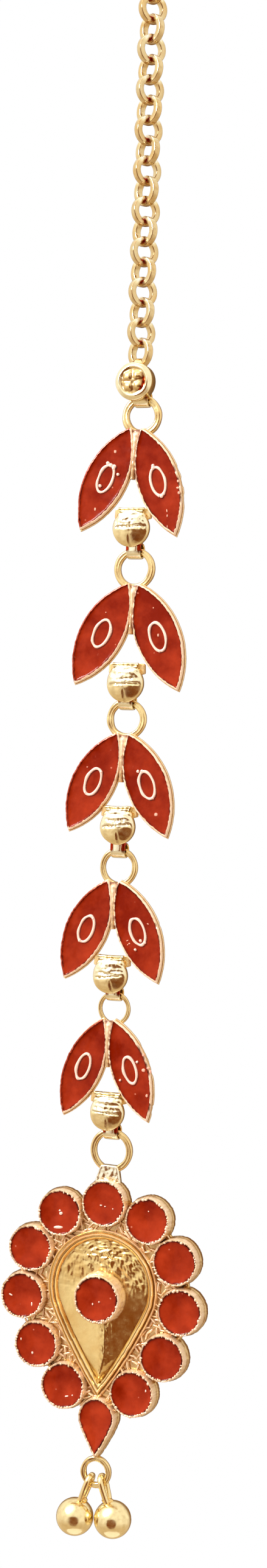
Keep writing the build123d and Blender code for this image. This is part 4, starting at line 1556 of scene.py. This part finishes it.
def lip_points(stones):
    """Where grains sit on the lips of the collets: close along the lower lips, few along the upper ones."""
    rng = np.random.default_rng(17)
    points = []
    rims = [(middle, radius, COLLET_FRONT) for middle, radius in stones.values()]
    rims.append((*measure_round("stone_centre"), CENTRE_FRONT))
    for middle, radius, front in rims:
        turn = rng.uniform(0, 0.2)
        while turn < FULL_TURN:
            lower = 0.5 - 0.5 * math.sin(turn - 0.5)
            if rng.uniform() < 0.25 + 0.65 * lower:
                reach = radius + rng.uniform(0.03, 0.12)
                points.append((
                    middle[0] + reach * math.cos(turn), front - rng.uniform(-0.02, 0.03),
                    middle[1] + reach * math.sin(turn),
                ))
            turn += rng.uniform(0.07, 0.16)
    return points


def web_points(stones, dish, corners):
    """Where bits of wire lie in the webs between the collets and the dish."""
    rng = np.random.default_rng(23)
    tries = 9000
    half_field = np.array([9.0, 12.0])
    dish_edge = drop_loop(dish, 0.60, 160)
    centre = np.array([dish.across, dish.up - 1.4])
    kept = []
    for _ in range(tries):
        spot = centre + rng.uniform(-1, 1, 2) * half_field
        if not inside_loop(spot, corners) or inside_loop(spot, dish_edge):
            continue
        if any(math.hypot(*(spot - middle)) < radius + 0.36 for middle, radius in stones.values()):
            continue
        if any(math.hypot(spot[0] - x, spot[1] - z) < 0.34 for x, _, z in kept):
            continue
        kept.append((spot[0], rng.uniform(0.66, 0.98), spot[1]))
    return kept


def inside_loop(spot, loop):
    """Whether a spot lies inside a closed outline."""
    x, z = loop[:, 0], loop[:, 1]
    nx, nz = np.roll(x, -1), np.roll(z, -1)
    crosses = (z > spot[1]) != (nz > spot[1])
    rise = np.where(crosses, nz - z, 1.0)
    at = x + (spot[1] - z) * (nx - x) / rise
    return bool(np.count_nonzero(crosses & (spot[0] < at)) % 2)


# ---------- balls ----------

def make_ball(name, gold, loop_across, seed):
    """A polished ball, soldered to a wire loop that hooks round the small ring."""
    points = node_points(name)
    foot = points[:, 2].min()
    low = points[points[:, 2] < foot + 3.3]
    middle = (low.min(0) + low.max(0)) / 2
    radius = (low[:, 0].max() - low[:, 0].min()) / 2
    middle[2] = foot + radius
    steps = 72
    turn = full_turn(steps)
    loops = []
    for row in np.linspace(-0.5, 0.5, 42)[1:-1] * math.pi:
        reach = radius * math.cos(row) * (1 - 0.006 * hump(row, 0.12, 0.05))
        loops.append(np.column_stack((
            middle[0] + reach * np.cos(turn),
            middle[1] + reach * np.sin(turn),
            np.full(steps, middle[2] + radius * math.sin(row)),
        )))
    work = Work()
    work.skin(loops, 0.0, -0.7)
    # the wire loop lies in the plane that goes down to the ball and forwards
    ring_middle = measure_small_ring()
    ring_low = ring_middle[1] - math.sqrt(SMALL_RING[0] ** 2 - (loop_across - ring_middle[0]) ** 2)
    top = np.array([loop_across, SMALL_RING_FRONT, ring_low + 0.76])
    down = middle - top
    length = np.linalg.norm(down)
    down = down / length
    forwards = np.array([0.0, 1.0, 0.0]) - down * down[1]
    forwards = forwards / np.linalg.norm(forwards)
    half = 0.62
    leg = [(length - radius * 0.8, half * 0.45), (length - radius - 0.3, half * 0.75), (half + 0.35, half)]
    bend = [(half - half * math.sin(angle), half * math.cos(angle)) for angle in np.linspace(0, math.pi, 24)]
    local = leg + bend + [(along, -out) for along, out in reversed(leg)]
    path = np.array([top + along * down + out * forwards for along, out in local])
    work.sweep(path, np.cross(down, forwards), wire_section(0.26, 0.25, 2.4), blush=-0.5)
    work.bead(middle - down * (radius - 0.02), (0.55, 0.50, 0.30), seed)
    work.piece(name + "_metal", gold, "gold_metal", "drop", [name], sharp=70)


# ---------- room, light and camera ----------

def make_room():
    """A plain pale floor well below the hanging piece."""
    foot = -0.7
    radius = 0.3
    rim = [(radius * math.cos(turn), radius * math.sin(turn), foot) for turn in full_turn(96)]
    mesh = bpy.data.meshes.new("floor")
    mesh.from_pydata(rim, [], [list(range(len(rim)))])
    mesh.materials.append(plain_material("pale_floor", (0.86, 0.86, 0.86), 0.8))
    add_object("floor", mesh)


# patches of the tent: which way they lie, how far they spread, where they start to fade, and colour
TENT_PATCHES = (
    ((-0.15, 0.99, 0.0), (1.0, 0.95, 0.8), 0.45, (0.26, 0.13, 0.05)),           # the dark behind
    ((-0.35, -0.45, 0.82), (0.62, 0.55, 0.50), 0.5, (3.0, 2.9, 2.7)),           # the lamp above
    ((0.201, -0.945, -0.259), (0.56, 0.56, 0.56), 0.8, (0.22, 0.060, 0.010)),   # the room in front
)


def make_light():
    """A white tent: bright above, warm below, with the dark of the room in front and behind."""
    world = bpy.data.worlds.new("white_tent")
    bpy.context.scene.world = world
    world.use_nodes = True
    shading = Shading(world.node_tree)
    direction = shading.add("TexCoord").outputs["Generated"]
    height = shading.add("SeparateXYZ", Vector=direction).outputs["Z"]
    upward = shading.map_range(height, -0.75, 0.05, 0, 1)
    colour = shading.mix(upward, (0.74, 0.58, 0.38), (1.14, 1.10, 1.0))
    for towards, spread, inner, patch in TENT_PATCHES:
        away = shading.operate("VectorMath", "SUBTRACT", direction, Vector(towards).normalized())
        scaled = shading.operate("VectorMath", "DIVIDE", away.outputs["Vector"], spread)
        length = shading.operate("VectorMath", "LENGTH", scaled.outputs["Vector"])
        share = shading.map_range(length.outputs["Value"], inner, 1.0, 1, 0)
        colour = shading.mix(share, colour, patch)
    folds = shading.map_range(shading.noise(direction, 0.28 / MM, 4, 0.6), 0.42, 0.66, 0.0, 0.4)
    colour = shading.mix(folds, colour, (0.46, 0.32, 0.16))
    # the metal mirrors the tent, and the camera sees plain white behind the piece
    lit = shading.add("Background", Color=colour)
    seen = shading.add("Background", Color=(1, 1, 1))
    camera_ray = shading.add("LightPath").outputs["Is Camera Ray"]
    lit_colour, seen_colour = lit.outputs["Background"], seen.outputs["Background"]
    mix = shading.operate("MixShader", None, camera_ray, lit_colour, seen_colour)
    shading.add("OutputWorld", Surface=mix.outputs["Shader"])
    light = bpy.data.lights.new("key_light", "AREA")
    light.shape = "DISK"
    light.size = 0.11
    light.energy = 1.4
    lamp = add_object("key_light", light)
    place = Vector((-190, -250, 90))
    target = Vector((0, 0, -95))
    lamp.location = place * MM
    lamp.rotation_euler = (target - place).to_track_quat("-Z", "Y").to_euler()


def make_camera():
    """Level with the middle of the strand, turned to its right, and rolled a little."""
    turn = math.radians(20)
    roll = math.radians(2.06)
    distance = 225
    height = -81.9
    aside = 0.817
    tall = 141.7                # height of the view at the strand
    sensor = 36
    right = Vector((math.cos(turn), math.sin(turn), 0))
    up = Vector((0, 0, 1))
    back = Vector((math.sin(turn), -math.cos(turn), 0))
    rolled_right = right * math.cos(roll) + up * math.sin(roll)
    rolled_up = up * math.cos(roll) - right * math.sin(roll)
    place = back * distance + right * aside + up * height
    data = bpy.data.cameras.new("camera")
    data.sensor_fit = "VERTICAL"
    data.sensor_height = sensor
    data.lens = sensor * distance / tall
    data.clip_start = 0.01
    camera = add_object("camera", data)
    turned = Matrix((rolled_right, rolled_up, back)).transposed().to_4x4()
    camera.matrix_world = Matrix.Translation(place * MM) @ turned
    bpy.context.scene.camera = camera


bpy.context.scene.view_settings.view_transform = "Standard"
gold = gold_material(
    "gold_plate", pale=(0.93, 0.70, 0.32), deep=(0.85, 0.56, 0.21), ripple_size=0.9, ripple_depth=0.028,
)
chain_gold = gold_material(
    "chain_gold", pale=(0.86, 0.70, 0.40), deep=(0.82, 0.58, 0.26), ripple_size=0.5, ripple_depth=0.03,
)
enamel = enamel_material(
    "red_enamel", dark=(0.175, 0.0075, 0.0005), light=(0.385, 0.035, 0.0095), speck=(0.55, 0.16, 0.10),
)
make_hair_hook(gold)
make_chain(chain_gold)
make_connector(gold)
for link_number in range(1, LINK_COUNT + 1):
    make_leaf_link(link_number, gold, enamel)
make_pendant(gold, enamel)
make_ball("ball_left", gold, loop_across=-0.58, seed=401)
make_ball("ball_right", gold, loop_across=0.36, seed=402)
make_room()
make_light()
make_camera()
